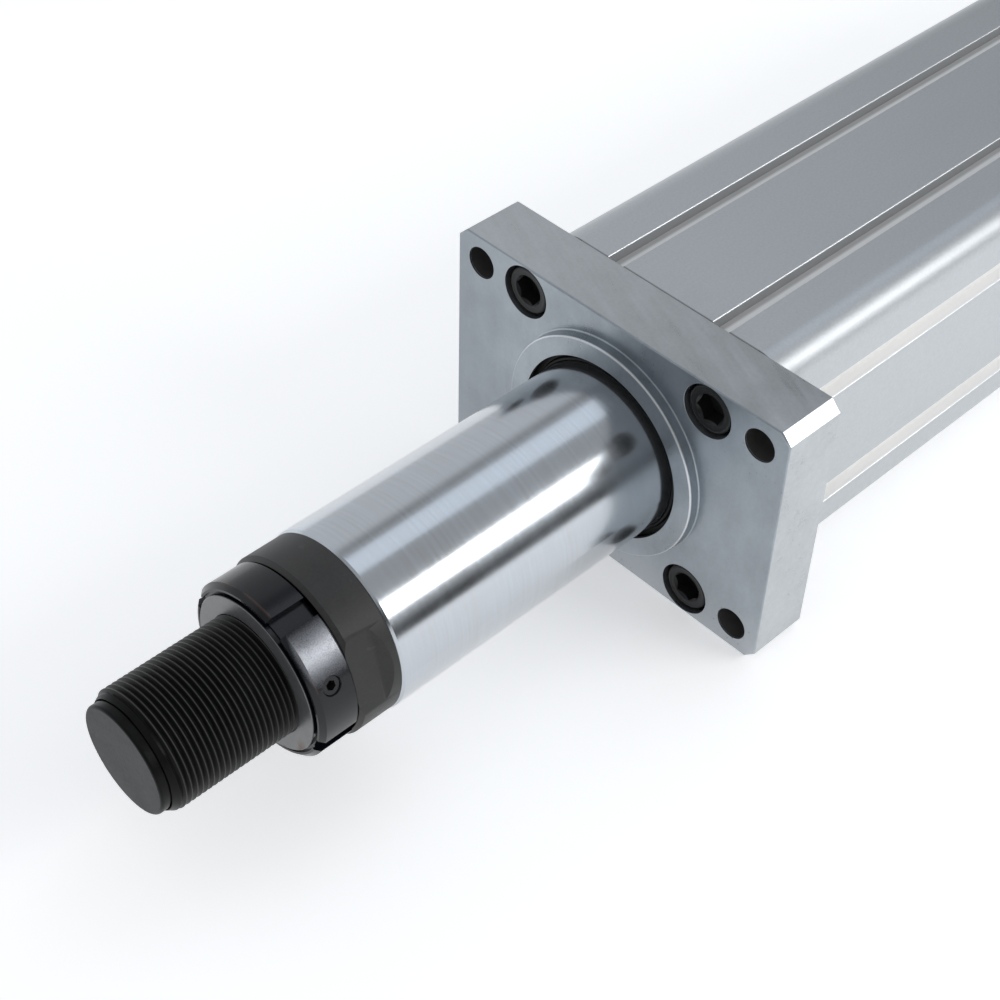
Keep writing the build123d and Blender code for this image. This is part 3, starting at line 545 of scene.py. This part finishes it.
@dataclass(frozen=True)
class BlackOxide:
    """Black oxide steel: cloudy, with fine grain, crests worn pale and painted pale as highlights, and a paler
    end face.

    Attributes:
        name: Name of the material.
        crest_r: Radius from the rod's axis above which the surface is painted pale, as wear and as a
            highlight, or 0.
        face_x: Place along the rod beyond which the surface is the pale end face, or 0.
    """

    name: str = "black_oxide"
    base: Colour = (0.020, 0.020, 0.021)
    pale: Colour = (0.070, 0.069, 0.068)
    roughness: float = 0.42
    gloss: float = 0.4
    crest_r: float = 0.0
    face_x: float = 0.0
    face: Colour = (0.014, 0.014, 0.015)

    def material(self) -> Material:
        """Build the finish."""
        s = Shader(self.name)
        clouds = s.noise(70.0, detail=5.0)
        grain = s.noise(1100.0, detail=2.0)
        scratches = s.noise(180.0, (1.0, 0.2, 1.0), 2.0).step(0.68, 0.72)
        wear = (clouds * 1.4 + grain * 0.9 - 0.8).clamp() * 0.5 + scratches * 0.3
        # Worn crests, painted pale also as a painted highlight along them.
        if self.crest_r:
            crest = s.radius().step(self.crest_r - 0.14, self.crest_r - 0.03)
            wear = (wear * 0.2 + crest * (0.5 + clouds)).clamp()
        colour = s.mix(wear.clamp(), self.base, self.pale)
        if self.face_x:
            x, _, _ = s.axes()
            colour = s.mix((x > self.face_x) * (0.6 + clouds * 0.7).clamp(), colour, self.face)
        rough = self.roughness + (clouds - 0.5) * 0.16 + (grain - 0.5) * 0.14
        return s.finish(colour, rough, 0.0, grain, 0.010, Specular_IOR_Level=self.gloss)


@dataclass(frozen=True)
class WornNut:
    """Blued nut: glossy and grainy outside, a painted highlight above, ground hub face, a trace of rust."""

    base: Colour = (0.003, 0.0035, 0.006)
    hub: Colour = (0.27, 0.27, 0.272)
    # Painted highlight colour.
    painted_highlight: Colour = (0.31, 0.32, 0.345)
    rust: Colour = (0.14, 0.08, 0.045)
    face: float = 154.2
    front_edge: float = 151.8
    outer_r: float = 31.0
    rim: Point = (30.2, 30.8)
    bore_rim: Point = (22.5, 25.5)
    underside: Point = (-8.0, -22.0)
    relief: float = 0.014

    def material(self) -> Material:
        """Build the finish."""
        s = Shader("worn_nut")
        x, y, z = s.axes()
        radius = s.radius()
        grain = s.noise(1500.0, detail=3.0, roughness=0.65)
        clouds = s.noise(110.0, detail=5.0)
        on_hub = x.step(self.face - 0.25, self.face - 0.05)
        # Painted highlight: a pale, speckled metallic patch on the upper side, where the key lamp is mirrored.
        highlight_sector = ((y + z) * (math.sqrt(0.5) / self.outer_r)).step(0.925, 0.998) * (1.0 - on_hub)
        specks = s.noise(2900.0, detail=2.0, roughness=0.7)
        highlight_specks = (highlight_sector * (0.35 + specks * 1.1 + clouds * 0.5) - 0.45 + specks * 0.3).clamp() * highlight_sector
        colour = s.mix(on_hub * (0.6 + clouds * 0.5), self.base, self.hub)
        colour = s.mix(highlight_specks, colour, self.painted_highlight)
        edge = x.near(self.front_edge, 0.5) * radius.step(*self.rim)
        low = z.step(*self.underside) * on_hub * radius.step(*self.bore_rim)
        worn = (edge * 0.35 + low) * clouds.step(0.50, 0.62)
        colour = s.mix(worn.clamp(), colour, self.rust)
        rough = 0.20 + on_hub * 0.16 + highlight_sector * 0.12 + (grain - 0.5) * 0.25 + (clouds - 0.5) * 0.1
        metal = (on_hub * 0.6 + highlight_specks * 0.9).clamp()
        return s.finish(colour, rough.clamp(), metal, grain, self.relief, Specular_IOR_Level=0.40)


@dataclass(frozen=True)
class PlainMetal:
    """Turned, ground or cast metal with fine lines and cloudy tone.

    Attributes:
        name: Name of the material.
        base: Colour.
        roughness: Roughness.
        lines: Stretch of the fine lines along X, Y and Z.
        relief: Height of the lines.
    """

    name: str
    base: Colour
    roughness: float = 0.35
    lines: Place = (1.0, 0.03, 0.03)
    relief: float = 0.003

    def material(self) -> Material:
        """Build the finish."""
        s = Shader(self.name)
        dark = tuple(c * 0.82 for c in self.base)
        clouds = s.noise(45.0, detail=4.0)
        lines = s.noise(1500.0, self.lines, 2.0)
        colour = s.mix((clouds * 1.5 - 0.25).clamp(), dark, self.base)
        rough = self.roughness + (clouds - 0.5) * 0.14 + (lines - 0.5) * 0.08
        return s.finish(colour, rough, 0.95, lines, self.relief)


@dataclass(frozen=True)
class Moulded:
    """Rubber or plastic with a fine grain.

    Attributes:
        name: Name of the material.
        base: Colour.
        roughness: Roughness.
        gloss: Strength of the surface reflection.
    """

    name: str
    base: Colour
    roughness: float = 0.55
    gloss: float = 0.5

    def material(self) -> Material:
        """Build the finish."""
        s = Shader(self.name)
        pale = tuple(min(1.0, c * 1.25 + 0.01) for c in self.base)
        clouds = s.noise(120.0, detail=4.0)
        grain = s.noise(3000.0, detail=1.0)
        colour = s.mix(clouds, self.base, pale)
        rough = self.roughness + (grain - 0.5) * 0.15
        return s.finish(colour, rough, 0.0, grain, 0.01, Specular_IOR_Level=self.gloss)


Finish = Union[GroundPlate, SatinAnodised, HardChrome, BlackOxide, WornNut, PlainMetal, Moulded]


def deselect_all() -> None:
    """Leave edit mode and select nothing."""
    if bpy.context.object and bpy.context.object.mode != "OBJECT":
        bpy.ops.object.mode_set(mode="OBJECT")
    bpy.ops.object.select_all(action="DESELECT")


def activate(piece: Piece) -> None:
    """Select one piece alone and make it active.

    Args:
        piece: The piece.
    """
    deselect_all()
    piece.hide_set(False)
    piece.select_set(True)
    bpy.context.view_layer.objects.active = piece


@contextmanager
def editing(piece: Piece) -> Iterator[None]:
    """Edit a piece with its whole mesh selected, then return to object mode.

    Args:
        piece: The piece.
    """
    activate(piece)
    bpy.ops.object.mode_set(mode="EDIT")
    bpy.ops.mesh.select_all(action="SELECT")
    yield
    bpy.ops.object.mode_set(mode="OBJECT")


def close_up(piece: Piece) -> None:
    """Merge a piece's doubled vertices and turn its faces outwards.

    Args:
        piece: The piece.
    """
    with editing(piece):
        bpy.ops.mesh.remove_doubles(threshold=MERGE_MM * MM)
        bpy.ops.mesh.normals_make_consistent(inside=False)


def new_object(name: str, data: bpy.types.ID) -> Piece:
    """Add an object to the scene.

    Args:
        name: Its name.
        data: Its mesh, camera or lamp.

    Returns:
        The object.
    """
    made = bpy.data.objects.new(name, data)
    bpy.context.scene.collection.objects.link(made)
    return made


def quarter(centre: Point, radius: float) -> list[Point]:
    """Points of a quarter circle, from the one above its centre to the one at its +X side.

    Args:
        centre: Its centre, as (x, r).
        radius: Its radius, or minus that for the opposite quarter.

    Returns:
        The points, 15 degrees apart.
    """
    angles = (math.radians(d) for d in range(0, 91, 15))
    return [(centre[0] + radius * math.sin(a), centre[1] + radius * math.cos(a)) for a in angles]


def outline(name: str, points: Sequence[Point]) -> Piece:
    """Draw an open line of (x, r) points in the XY plane, one extruded vertex at a time.

    Args:
        name: Name of the piece.
        points: The points in order.

    Returns:
        The piece, left in edit mode with everything selected.
    """
    deselect_all()
    bpy.ops.mesh.primitive_plane_add(size=MM)
    piece = bpy.context.active_object
    piece.name = name
    bpy.ops.object.mode_set(mode="EDIT")
    bpy.ops.mesh.merge(type="CENTER")
    bpy.ops.transform.translate(value=(points[0][0] * MM, points[0][1] * MM, 0.0))
    for before, after in zip(points, points[1:]):
        step = ((after[0] - before[0]) * MM, (after[1] - before[1]) * MM, 0.0)
        bpy.ops.mesh.extrude_vertices_move(TRANSFORM_OT_translate={"value": step})
    bpy.ops.mesh.select_all(action="SELECT")
    return piece


def turned(name: str, points: Sequence[Point], steps: int) -> Piece:
    """Turn a line of (x, r) points about the X axis.

    Args:
        name: Name of the piece.
        points: The points in order. They start and end on the axis, or at the same point for a ring.
        steps: Number of steps round.

    Returns:
        The closed piece.
    """
    piece = outline(name, points)
    bpy.ops.mesh.spin(steps=steps, angle=2 * math.pi, center=(0, 0, 0), axis=Axis.X.value)
    close_up(piece)
    return piece


def settle(piece: Piece, angle: float = 35.0) -> Piece:
    """Put a piece's place into its mesh and smooth its gentle edges.

    Args:
        piece: The piece.
        angle: Edges flatter than this many degrees are smooth.

    Returns:
        The same piece.
    """
    activate(piece)
    bpy.ops.object.transform_apply(location=True, rotation=True, scale=True)
    bpy.ops.object.shade_smooth_by_angle(angle=math.radians(angle))
    apply_modifier(piece, "WEIGHTED_NORMAL", mode="FACE_AREA", weight=50, keep_sharp=True)
    return piece


def apply_modifier(piece: Piece, kind: str, **settings: object) -> None:
    """Add a modifier and apply it.

    Args:
        piece: The piece.
        kind: The modifier's type name.
        settings: Its settings.
    """
    activate(piece)
    modifier = piece.modifiers.new(kind.lower(), kind)
    for key, setting in settings.items():
        setattr(modifier, key, setting)
    bpy.ops.object.modifier_apply(modifier=modifier.name)


def round_edges(piece: Piece, width: float, angle: float) -> None:
    """Round a piece's sharp edges a little.

    Args:
        piece: The piece.
        width: Width of the rounding.
        angle: Edges sharper than this many degrees are rounded.
    """
    apply_modifier(piece, "BEVEL", width=width * MM, segments=2, limit_method="ANGLE",
                   angle_limit=math.radians(angle), use_clamp_overlap=True)


def cut_away(piece: Piece, tool: Piece) -> None:
    """Cut one piece out of another and delete the cutting piece.

    Args:
        piece: The piece that is cut.
        tool: The piece that cuts.
    """
    apply_modifier(piece, "BOOLEAN", operation="DIFFERENCE", object=tool, solver="EXACT")
    bpy.data.objects.remove(tool)


def bisect(piece: Piece, place: float, axis: Axis = Axis.X, **settings: bool) -> None:
    """Add a ring of edges across a piece, and cut it off there if so set.

    Args:
        piece: The piece.
        place: Place of the ring along the axis.
        axis: The axis that the cut is square to.
        settings: Which side is cleared, and whether the cut is closed.
    """
    centre = tuple(part * place * MM for part in axis.value)
    with editing(piece):
        bpy.ops.mesh.bisect(plane_co=centre, plane_no=axis.value, **settings)


def copy_of(node: str, name: str) -> Piece:
    """Copy a frame node and merge its loose triangles.

    Args:
        node: Name of the node.
        name: Name of the copy.

    Returns:
        The copy, free of any body.
    """
    piece = new_object(name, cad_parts[node].data.copy())
    with editing(piece):
        bpy.ops.mesh.remove_doubles(threshold=MERGE_MM * MM)
        bpy.ops.mesh.dissolve_limited(angle_limit=math.radians(FLAT_DEGREES))
    return piece


def softened(node: str, name: str, width: float, angle: float = 40.0) -> Piece:
    """Copy a frame node and round its sharp edges a little.

    Args:
        node: Name of the node.
        name: Name of the copy.
        width: Width of the rounding.
        angle: Edges sharper than this many degrees are rounded.

    Returns:
        The copy.
    """
    piece = copy_of(node, name)
    round_edges(piece, width, angle)
    return settle(piece)


def joined(name: str, pieces: Sequence[Piece]) -> Piece:
    """Join pieces into one mesh.

    Args:
        name: Name of the result.
        pieces: The pieces.

    Returns:
        The joined piece.
    """
    deselect_all()
    for piece in pieces:
        piece.select_set(True)
    bpy.context.view_layer.objects.active = pieces[0]
    bpy.ops.object.join()
    pieces[0].name = name
    return pieces[0]


def dress(piece: Piece, material: Material) -> None:
    """Give a piece one material all over.

    Args:
        piece: A new piece or a frame node.
        material: The finish.
    """
    if not piece.material_slots:
        piece.data.materials.append(material)
    for material_slot in piece.material_slots:
        material_slot.material = material


def place_piece(piece: Piece, material: Material, body: str, replaced: Iterable[str] = ()) -> None:
    """Dress a piece, attach it to its body and report it.

    Args:
        piece: The piece.
        material: Its finish.
        body: Name of the body it moves with.
        replaced: Frame nodes that it stands for.
    """
    dress(piece, material)
    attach(piece, body)
    if replaced:
        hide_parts(*replaced)
    LOG.info("%s rides on %s, %d faces", piece.name, body, len(piece.data.polygons))


@dataclass
class RodEnd:
    """Collar with wrench flats and the threaded stud with its dog point."""

    collar_front: float = 138.8
    stud_r: float = 21.0
    pitch: float = 2.0
    thread_depth: float = 1.08
    crest: float = 0.30
    root: float = 0.45
    stud_end: float = 199.8
    cone_len: float = 2.8
    cone_height: float = 1.8
    rings: tuple[float, ...] = (1.0, 0.8, 0.6, 0.4, 0.2)
    rounding: float = 0.25
    steps: int = 96
    collar_finish: BlackOxide = BlackOxide("black_collar", (0.026, 0.025, 0.024), (0.064, 0.062, 0.060), 0.47)
    thread_finish: BlackOxide = BlackOxide(
        "black_thread", (0.004, 0.004, 0.004), (0.060, 0.058, 0.056), 0.34, 0.10, 21.0, 203.0)

    def thread(self) -> Piece:
        """Cut the stud's thread as one ridge wound along it, with a cone at its front end.

        Returns:
            The threaded length.
        """
        inner = self.stud_r - self.thread_depth
        flank = (self.pitch - self.crest - self.root) / 2
        start = self.collar_front - self.pitch
        turns = math.ceil((self.stud_end - start) / self.pitch) + 1
        rise = start + self.root
        piece = outline("stud_thread", [
            (start, inner), (rise, inner), (rise + flank, self.stud_r),
            (rise + flank + self.crest, self.stud_r), (start + self.pitch, inner),
        ])
        bpy.ops.object.mode_set(mode="OBJECT")
        apply_modifier(piece, "SCREW", axis="X", screw_offset=self.pitch * MM, iterations=turns,
                       steps=self.steps, render_steps=self.steps, use_merge_vertices=True,
                       use_smooth_shade=True)
        close_up(piece)
        for share in self.rings:
            bisect(piece, self.stud_end - share * self.cone_len)
        bisect(piece, self.collar_front, use_fill=True, clear_inner=True)
        bisect(piece, self.stud_end, use_fill=True, clear_outer=True)
        self.turn_down(piece)
        return piece

    def turn_down(self, piece: Piece) -> None:
        """Bring the ridge down to the front cone.

        Args:
            piece: The threaded length.
        """
        cone_start = self.stud_end - self.cone_len
        for vertex in piece.data.vertices:
            over = vertex.co.x / MM - cone_start
            radius = math.hypot(vertex.co.y, vertex.co.z)
            limit = (self.stud_r - max(over, 0.0) * self.cone_height / self.cone_len) * MM
            if radius > limit:
                vertex.co.y *= limit / radius
                vertex.co.z *= limit / radius

    def build(self) -> None:
        """Make the collar, thread and dog point and attach them to the rod."""
        collar = copy_of("rod_end", "collar")
        bisect(collar, self.collar_front + OVERLAP_MM, use_fill=True, clear_outer=True)
        round_edges(collar, self.rounding, 30.0)
        settle(collar, 25.0)
        place_piece(collar, self.collar_finish.material(), "rod", ["rod_end"])
        point = copy_of("rod_end", "dog_point")
        bisect(point, self.stud_end - OVERLAP_MM, use_fill=True, clear_inner=True)
        stud = joined("stud", [self.thread(), point])
        settle(stud, 30.0)
        place_piece(stud, self.thread_finish.material(), "rod")


@dataclass
class Locknut:
    """Slotted round nut and its set screws."""

    finish: WornNut = WornNut()
    screw_finish: BlackOxide = BlackOxide("black_set_screw", (0.010, 0.010, 0.011), (0.03,) * 3, 0.28)
    rounding: float = 0.25

    def build(self) -> None:
        """Round the nut's edges, dress it and its screws, and attach it."""
        nut = softened("locknut", "slotted_nut", self.rounding, 30.0)
        place_piece(nut, self.finish.material(), "rod", ["locknut"])
        dress(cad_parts["locknut_set_screws"], self.screw_finish.material())


@dataclass
class FlangeScrews:
    """Four socket-head screws sunk in the flange.

    Attributes:
        dish_r: Radii of the shallow dish in a head, at its rim and its floor.
        turns: Degrees that a socket is turned by: a common share, one by side and one by level.
    """

    spacing: float = 83.2
    seat: float = -13.2
    top: float = -1.2
    head_r: float = 9.0
    shank_r: float = 5.98
    shank_end: float = -47.0
    edge: float = 1.1
    hex_across: float = 10.0
    hex_depth: float = 6.0
    mouth: float = 0.5
    funnel: float = 1.2
    tip: float = 0.8
    dish: float = 0.12
    dish_r: Point = (7.4, 7.2)
    turns: Place = (20.0, 37.0, 11.0)
    steps: int = 72
    finish: BlackOxide = BlackOxide("black_screw", (0.007,) * 3, (0.030,) * 3, 0.36, 0.3)

    def screw(self) -> Piece:
        """Make one screw on the axis.

        Returns:
            The screw.
        """
        floor = self.top - self.dish
        body = turned("cap_screw", [
            (self.shank_end, 0.0), (self.shank_end, self.shank_r - self.tip),
            (self.shank_end + self.tip, self.shank_r), (self.seat, self.shank_r), (self.seat, self.head_r),
            *quarter((self.top - self.edge, self.head_r - self.edge), self.edge),
            (self.top, self.dish_r[0]), (floor, self.dish_r[1]), (floor, 0.0),
        ], self.steps)
        corner = self.hex_across / math.sqrt(3)
        deselect_all()
        bpy.ops.mesh.primitive_cylinder_add(
            vertices=6, radius=corner * MM, depth=2 * self.hex_depth * MM, location=(self.top * MM, 0, 0),
            rotation=(0, math.pi / 2, 0))
        cut_away(body, bpy.context.active_object)
        deselect_all()
        bpy.ops.mesh.primitive_cone_add(
            vertices=48, radius1=(corner - self.funnel) * MM, radius2=(corner + self.mouth) * MM,
            depth=(self.funnel + self.mouth) * MM, location=((floor - self.mouth) * MM, 0, 0),
            rotation=(0, math.pi / 2, 0))
        cut_away(body, bpy.context.active_object)
        return body

    def build(self) -> None:
        """Copy the screw to the four corners and attach the set."""
        first = self.screw()
        set_of_four = []
        start, by_side, by_level = self.turns
        for side in (1, -1):
            for level in (1, -1):
                one = new_object("screw", first.data.copy())
                turn = Matrix.Rotation(math.radians(start + by_side * side + by_level * level), 4, "X")
                shift = Matrix.Translation((0, side * self.spacing / 2 * MM, level * self.spacing / 2 * MM))
                one.data.transform(shift @ turn)
                set_of_four.append(one)
        bpy.data.objects.remove(first)
        screws = settle(joined("flange_cap_screws", set_of_four), 40.0)
        place_piece(screws, self.finish.material(), "housing", ["flange_screws"])


@dataclass
class Flange:
    """Flange plate with its pilot ring, and the wiper in it.

    Attributes:
        lip: Length of the wiper's lip in front of its ring, and the thickness of its root.
        lip_edge: How far the lip's edges stand back from its tip, and how high above the bore its tip
            and its outer edge are.
    """

    finish: GroundPlate = GroundPlate()
    pilot_r: float = 43.0
    fillet: float = 0.55
    sink: float = 0.3
    wiper_r: Point = (32.6, 38.9)
    wiper_x: Point = (-4.3, 0.9)
    lip: Point = (1.2, 1.4)
    lip_edge: Place = (0.2, 0.25, 0.9)
    rounding: float = 0.22
    steps: int = 144
    wiper_finish: Moulded = Moulded("black_wiper", (0.005, 0.005, 0.005), 0.5, 0.2)

    def root_fillet(self) -> Piece:
        """Turn the small hollow fillet where the pilot ring meets the plate.

        Returns:
            The ring.
        """
        rise, under = self.pilot_r + self.fillet, self.pilot_r - self.sink
        hollow = quarter((self.fillet, rise), -self.fillet)[::-1]
        return turned("pilot_fillet", [
            (-self.sink, rise), *hollow, (self.fillet, under), (-self.sink, under), (-self.sink, rise),
        ], self.steps)

    def wiper(self) -> Piece:
        """Turn the wiper, whose lip ends inside the pilot ring.

        Returns:
            The ring.
        """
        (inner, outer), (back, front) = self.wiper_r, self.wiper_x
        length, wall = self.lip
        setback, nose, crown = self.lip_edge
        tip = front + length
        return turned("wiper", [
            (back, inner), (tip - setback, inner), (tip, inner + nose), (tip - setback, inner + crown),
            (front, inner + wall), (front, outer), (back, outer), (back, inner),
        ], self.steps)

    def build(self) -> None:
        """Round the plate's edges, dress it and its wiper, and attach it."""
        finish = self.finish.material()
        plate = softened("front_flange", "flange_plate", self.rounding)
        place_piece(plate, finish, "housing", ["front_flange"])
        place_piece(settle(self.root_fillet()), finish, "housing")
        wiper = settle(self.wiper())
        place_piece(wiper, self.wiper_finish.material(), "housing", ["rod_wiper"])


@dataclass
class GroovedTube:
    """Extruded tube."""

    finish: SatinAnodised = SatinAnodised()
    rounding: float = 0.35

    def build(self) -> None:
        """Round the extrusion's edges, dress it and attach it."""
        tube = softened("profile_tube", "grooved_tube", self.rounding, 50.0)
        place_piece(tube, self.finish.material(), "housing", ["profile_tube"])


@dataclass
class RearEnd:
    """Bearing housing and motor adapter behind the tube."""

    finish: PlainMetal = PlainMetal("blasted_aluminium", (0.56, 0.57, 0.58), 0.44, (1.0,) * 3, 0.012)
    rounding: float = 0.4

    def build(self) -> None:
        """Round the castings' edges, dress them and attach them."""
        finish = self.finish.material()
        for node, name in (("bearing_housing", "rear_housing"), ("motor_adapter", "adapter_bell")):
            casting = softened(node, name, self.rounding)
            place_piece(casting, finish, "housing", [node])


@dataclass
class InnerWorks:
    """Finishes of the frame nodes that keep their own shape."""

    finishes: tuple[tuple[Finish, tuple[str, ...]], ...] = (
        (HardChrome(), ("rod_tube",)),
        (PlainMetal("ground_steel", (0.55, 0.56, 0.58), 0.24), (
            "ball_nut", "bearing_outer_rings", "bearing_inner_rings", "bearing_ball_cages", "screw_shaft")),
        (PlainMetal("turned_aluminium", (0.66, 0.67, 0.68), 0.30), (
            "nut_carriage", "drive_hub", "motor_hub")),
        (BlackOxide(), (
            "housing_screws", "adapter_screws", "bearing_retainer", "bearing_locknut", "ball_nut_screws",
            "hub_set_screws", "bush_circlip", "support_circlip")),
        (PlainMetal("turned_bronze", (0.46, 0.27, 0.10), 0.32), ("guide_bush",)),
        (Moulded("black_rubber", (0.012, 0.012, 0.012), 0.6), (
            "rod_seal", "front_o_ring", "rear_o_ring", "front_bumper", "rear_bumper", "access_plug",
            "magnet_ring")),
        (Moulded("wear_strip", (0.62, 0.58, 0.48), 0.5), (
            "guide_rings", "anti_rotation_keys", "screw_support_bush")),
        (Moulded("red_elastomer", (0.42, 0.03, 0.02), 0.4), ("coupling_spider",)),
    )

    def build(self) -> None:
        """Dress every node that keeps its shape."""
        for finish, nodes in self.finishes:
            material = finish.material()
            for node in nodes:
                dress(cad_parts[node], material)
                LOG.info("%s dressed in %s", node, material.name)


@dataclass(frozen=True)
class SoftBox:
    """One soft box round the rod's axis.

    Attributes:
        name: Name of the lamp.
        bearing: Degrees round the rod's axis, from +Y up towards +Z.
        size: Length along the rod and width in metres.
        brightness: Brightness of its face, where 1 is white.
        colour: Its colour.
    """

    name: str
    bearing: float
    size: Point
    brightness: float
    colour: Colour = WHITE


@dataclass
class Studio:
    """White floor, soft boxes and the camera of the photograph.

    The camera's place, direction and roll were worked out from the plate, rod and tube in the picture. The
    focal length is in pixels, the clipping and the lamps' distances are in metres, and the ceiling's
    places are shares of its radius.
    """

    picture: int = 1000
    focal_px: float = 1865.9
    film: float = 36.0
    clip: Point = (0.01, 50.0)
    eye: Place = (362.93, 311.75, 437.16)
    heading: float = -135.027
    pitch: float = -44.359
    roll: float = 1.735
    floor_z: float = -52.3
    floor_size: float = 12000.0
    floor_tone: float = 0.92
    floor_glow: float = 0.385
    far_floor: Point = (700.0, 2200.0)
    far_glow: float = 0.125
    room: float = 0.60
    shell_r: float = 5000.0
    ceiling: float = 0.46
    dark: float = 0.01
    horizon: Point = (0.12, 0.32)
    left_rise: Point = (-0.42, -0.54)
    left_gain: float = 0.25
    gap: Point = (-0.38, 0.08)
    gap_share: float = 0.35
    back_fall: Point = (-0.60, -0.86)
    back_share: float = 0.55
    lamp_reach: float = 1.3
    lamp_back: float = 0.80
    room_colour: Colour = (0.93, 0.96, 1.0)
    boxes: tuple[SoftBox, ...] = (
        SoftBox("key", 35.0, (1.0, 0.46), 4.6),
        SoftBox("overhead", 94.0, (1.2, 0.60), 0.66, (0.78, 0.88, 1.0)),
    )

    def camera(self) -> None:
        """Set the camera to the picture's place and lens."""
        data = bpy.data.cameras.new("camera")
        data.sensor_width = self.film
        data.lens = self.focal_px / self.picture * self.film
        data.clip_start, data.clip_end = self.clip
        camera = new_object("camera", data)
        heading, pitch, roll = (math.radians(a) for a in (self.heading, self.pitch, self.roll))
        flat = math.cos(pitch)
        ahead = Vector((math.cos(heading) * flat, math.sin(heading) * flat, math.sin(pitch)))
        level = ahead.cross(Vector(Axis.Z.value)).normalized()
        above = level.cross(ahead)
        right = level * math.cos(roll) + above * math.sin(roll)
        up = right.cross(ahead)
        turn = Matrix((right, up, -ahead)).transposed().to_4x4()
        camera.matrix_world = Matrix.Translation(Vector(self.eye) * MM) @ turn
        bpy.context.scene.camera = camera

    def floor(self) -> None:
        """Lay a white floor that keeps the object's soft shadow."""
        deselect_all()
        bpy.ops.mesh.primitive_plane_add(size=self.floor_size * MM, location=(0, 0, self.floor_z * MM))
        floor = bpy.context.active_object
        floor.name = "floor"
        s = Shader("white_floor")
        x, y, _ = s.axes()
        far = distance(x, y).step(*self.far_floor)
        glow = s.mix(s.shown() * (far * self.far_glow + self.floor_glow), BLACK, WHITE)
        dress(floor, s.finish((self.floor_tone,) * 3, 0.9, 0.0, Specular_IOR_Level=0.0,
                              Emission_Color=glow, Emission_Strength=1.0))

    def shell(self) -> None:
        """Hang a grey ceiling that only polished pieces mirror, with a dark edge at the right."""
        deselect_all()
        bpy.ops.mesh.primitive_uv_sphere_add(segments=48, ring_count=24, radius=self.shell_r * MM)
        shell = bpy.context.active_object
        shell.name = "ceiling"
        bisect(shell, self.floor_z, Axis.Z, clear_inner=True)
        s = Shader("grey_ceiling")
        front, right, height = (value / self.shell_r for value in s.axes())
        dark = height.step(*self.horizon[::-1]) * right.step(0.0, 0.3)
        tone = self.ceiling - dark * (self.ceiling - self.dark) + right.step(*self.left_rise) * self.left_gain
        tone = tone * (1.0 - right.near(*self.gap) * self.gap_share)
        tone = tone * (1.0 - front.step(*self.back_fall) * self.back_share)
        glow = s.mix(tone.clamp(), BLACK, self.room_colour)
        dress(shell, s.finish(BLACK, 1.0, 0.0, Specular_IOR_Level=0.0, Emission_Color=glow,
                              Emission_Strength=1.0))
        shell.visible_camera = False
        shell.visible_diffuse = False
        shell.visible_transmission = False
        shell.visible_shadow = False

    def world(self) -> None:
        """Surround the object with even light and a white background."""
        world = bpy.data.worlds.new("white_room")
        bpy.context.scene.world = world
        world.use_nodes = True
        g = Graph(world.node_tree)
        colour = g.mix(g.shown(), tuple(c * self.room for c in self.room_colour), WHITE)
        back = g.node("ShaderNodeBackground", {"Color": colour, "Strength": 1.0})
        g.node("ShaderNodeOutputWorld", {"Surface": back.outputs[0]})

    def soft_box(self, box: SoftBox) -> None:
        """Hang one soft box round the rod's axis, a little behind the object.

        Args:
            box: The soft box.
        """
        data = bpy.data.lights.new(box.name, "AREA")
        data.shape = "RECTANGLE"
        data.size, data.size_y = box.size
        data.energy = box.brightness * math.pi * box.size[0] * box.size[1]
        data.color = box.colour
        lamp = new_object(box.name, data)
        angle = math.radians(box.bearing)
        across = Vector((0.0, math.cos(angle), math.sin(angle)))
        lamp.location = across * self.lamp_reach + Vector((-self.lamp_back, 0.0, 0.0))
        facing = -lamp.location.normalized()
        side = across.cross(facing).normalized()
        along = facing.cross(side)
        turn = Matrix((along, -side, -facing)).transposed().to_4x4()
        lamp.matrix_world = Matrix.Translation(lamp.location) @ turn

    def build(self) -> None:
        """Set the whole studio."""
        self.camera()
        self.floor()
        self.shell()
        self.world()
        for box in self.boxes:
            self.soft_box(box)
        bpy.context.scene.view_settings.view_transform = "Standard"


def main() -> None:
    """Build every piece in order."""
    logging.basicConfig(level=logging.INFO, format="%(message)s")
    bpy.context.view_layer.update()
    for part in (InnerWorks, RearEnd, GroovedTube, Flange, FlangeScrews, RodEnd, Locknut, Studio):
        part().build()
        LOG.info("%s done", part.__name__)
    deselect_all()


if __name__ == "__main__":
    main()
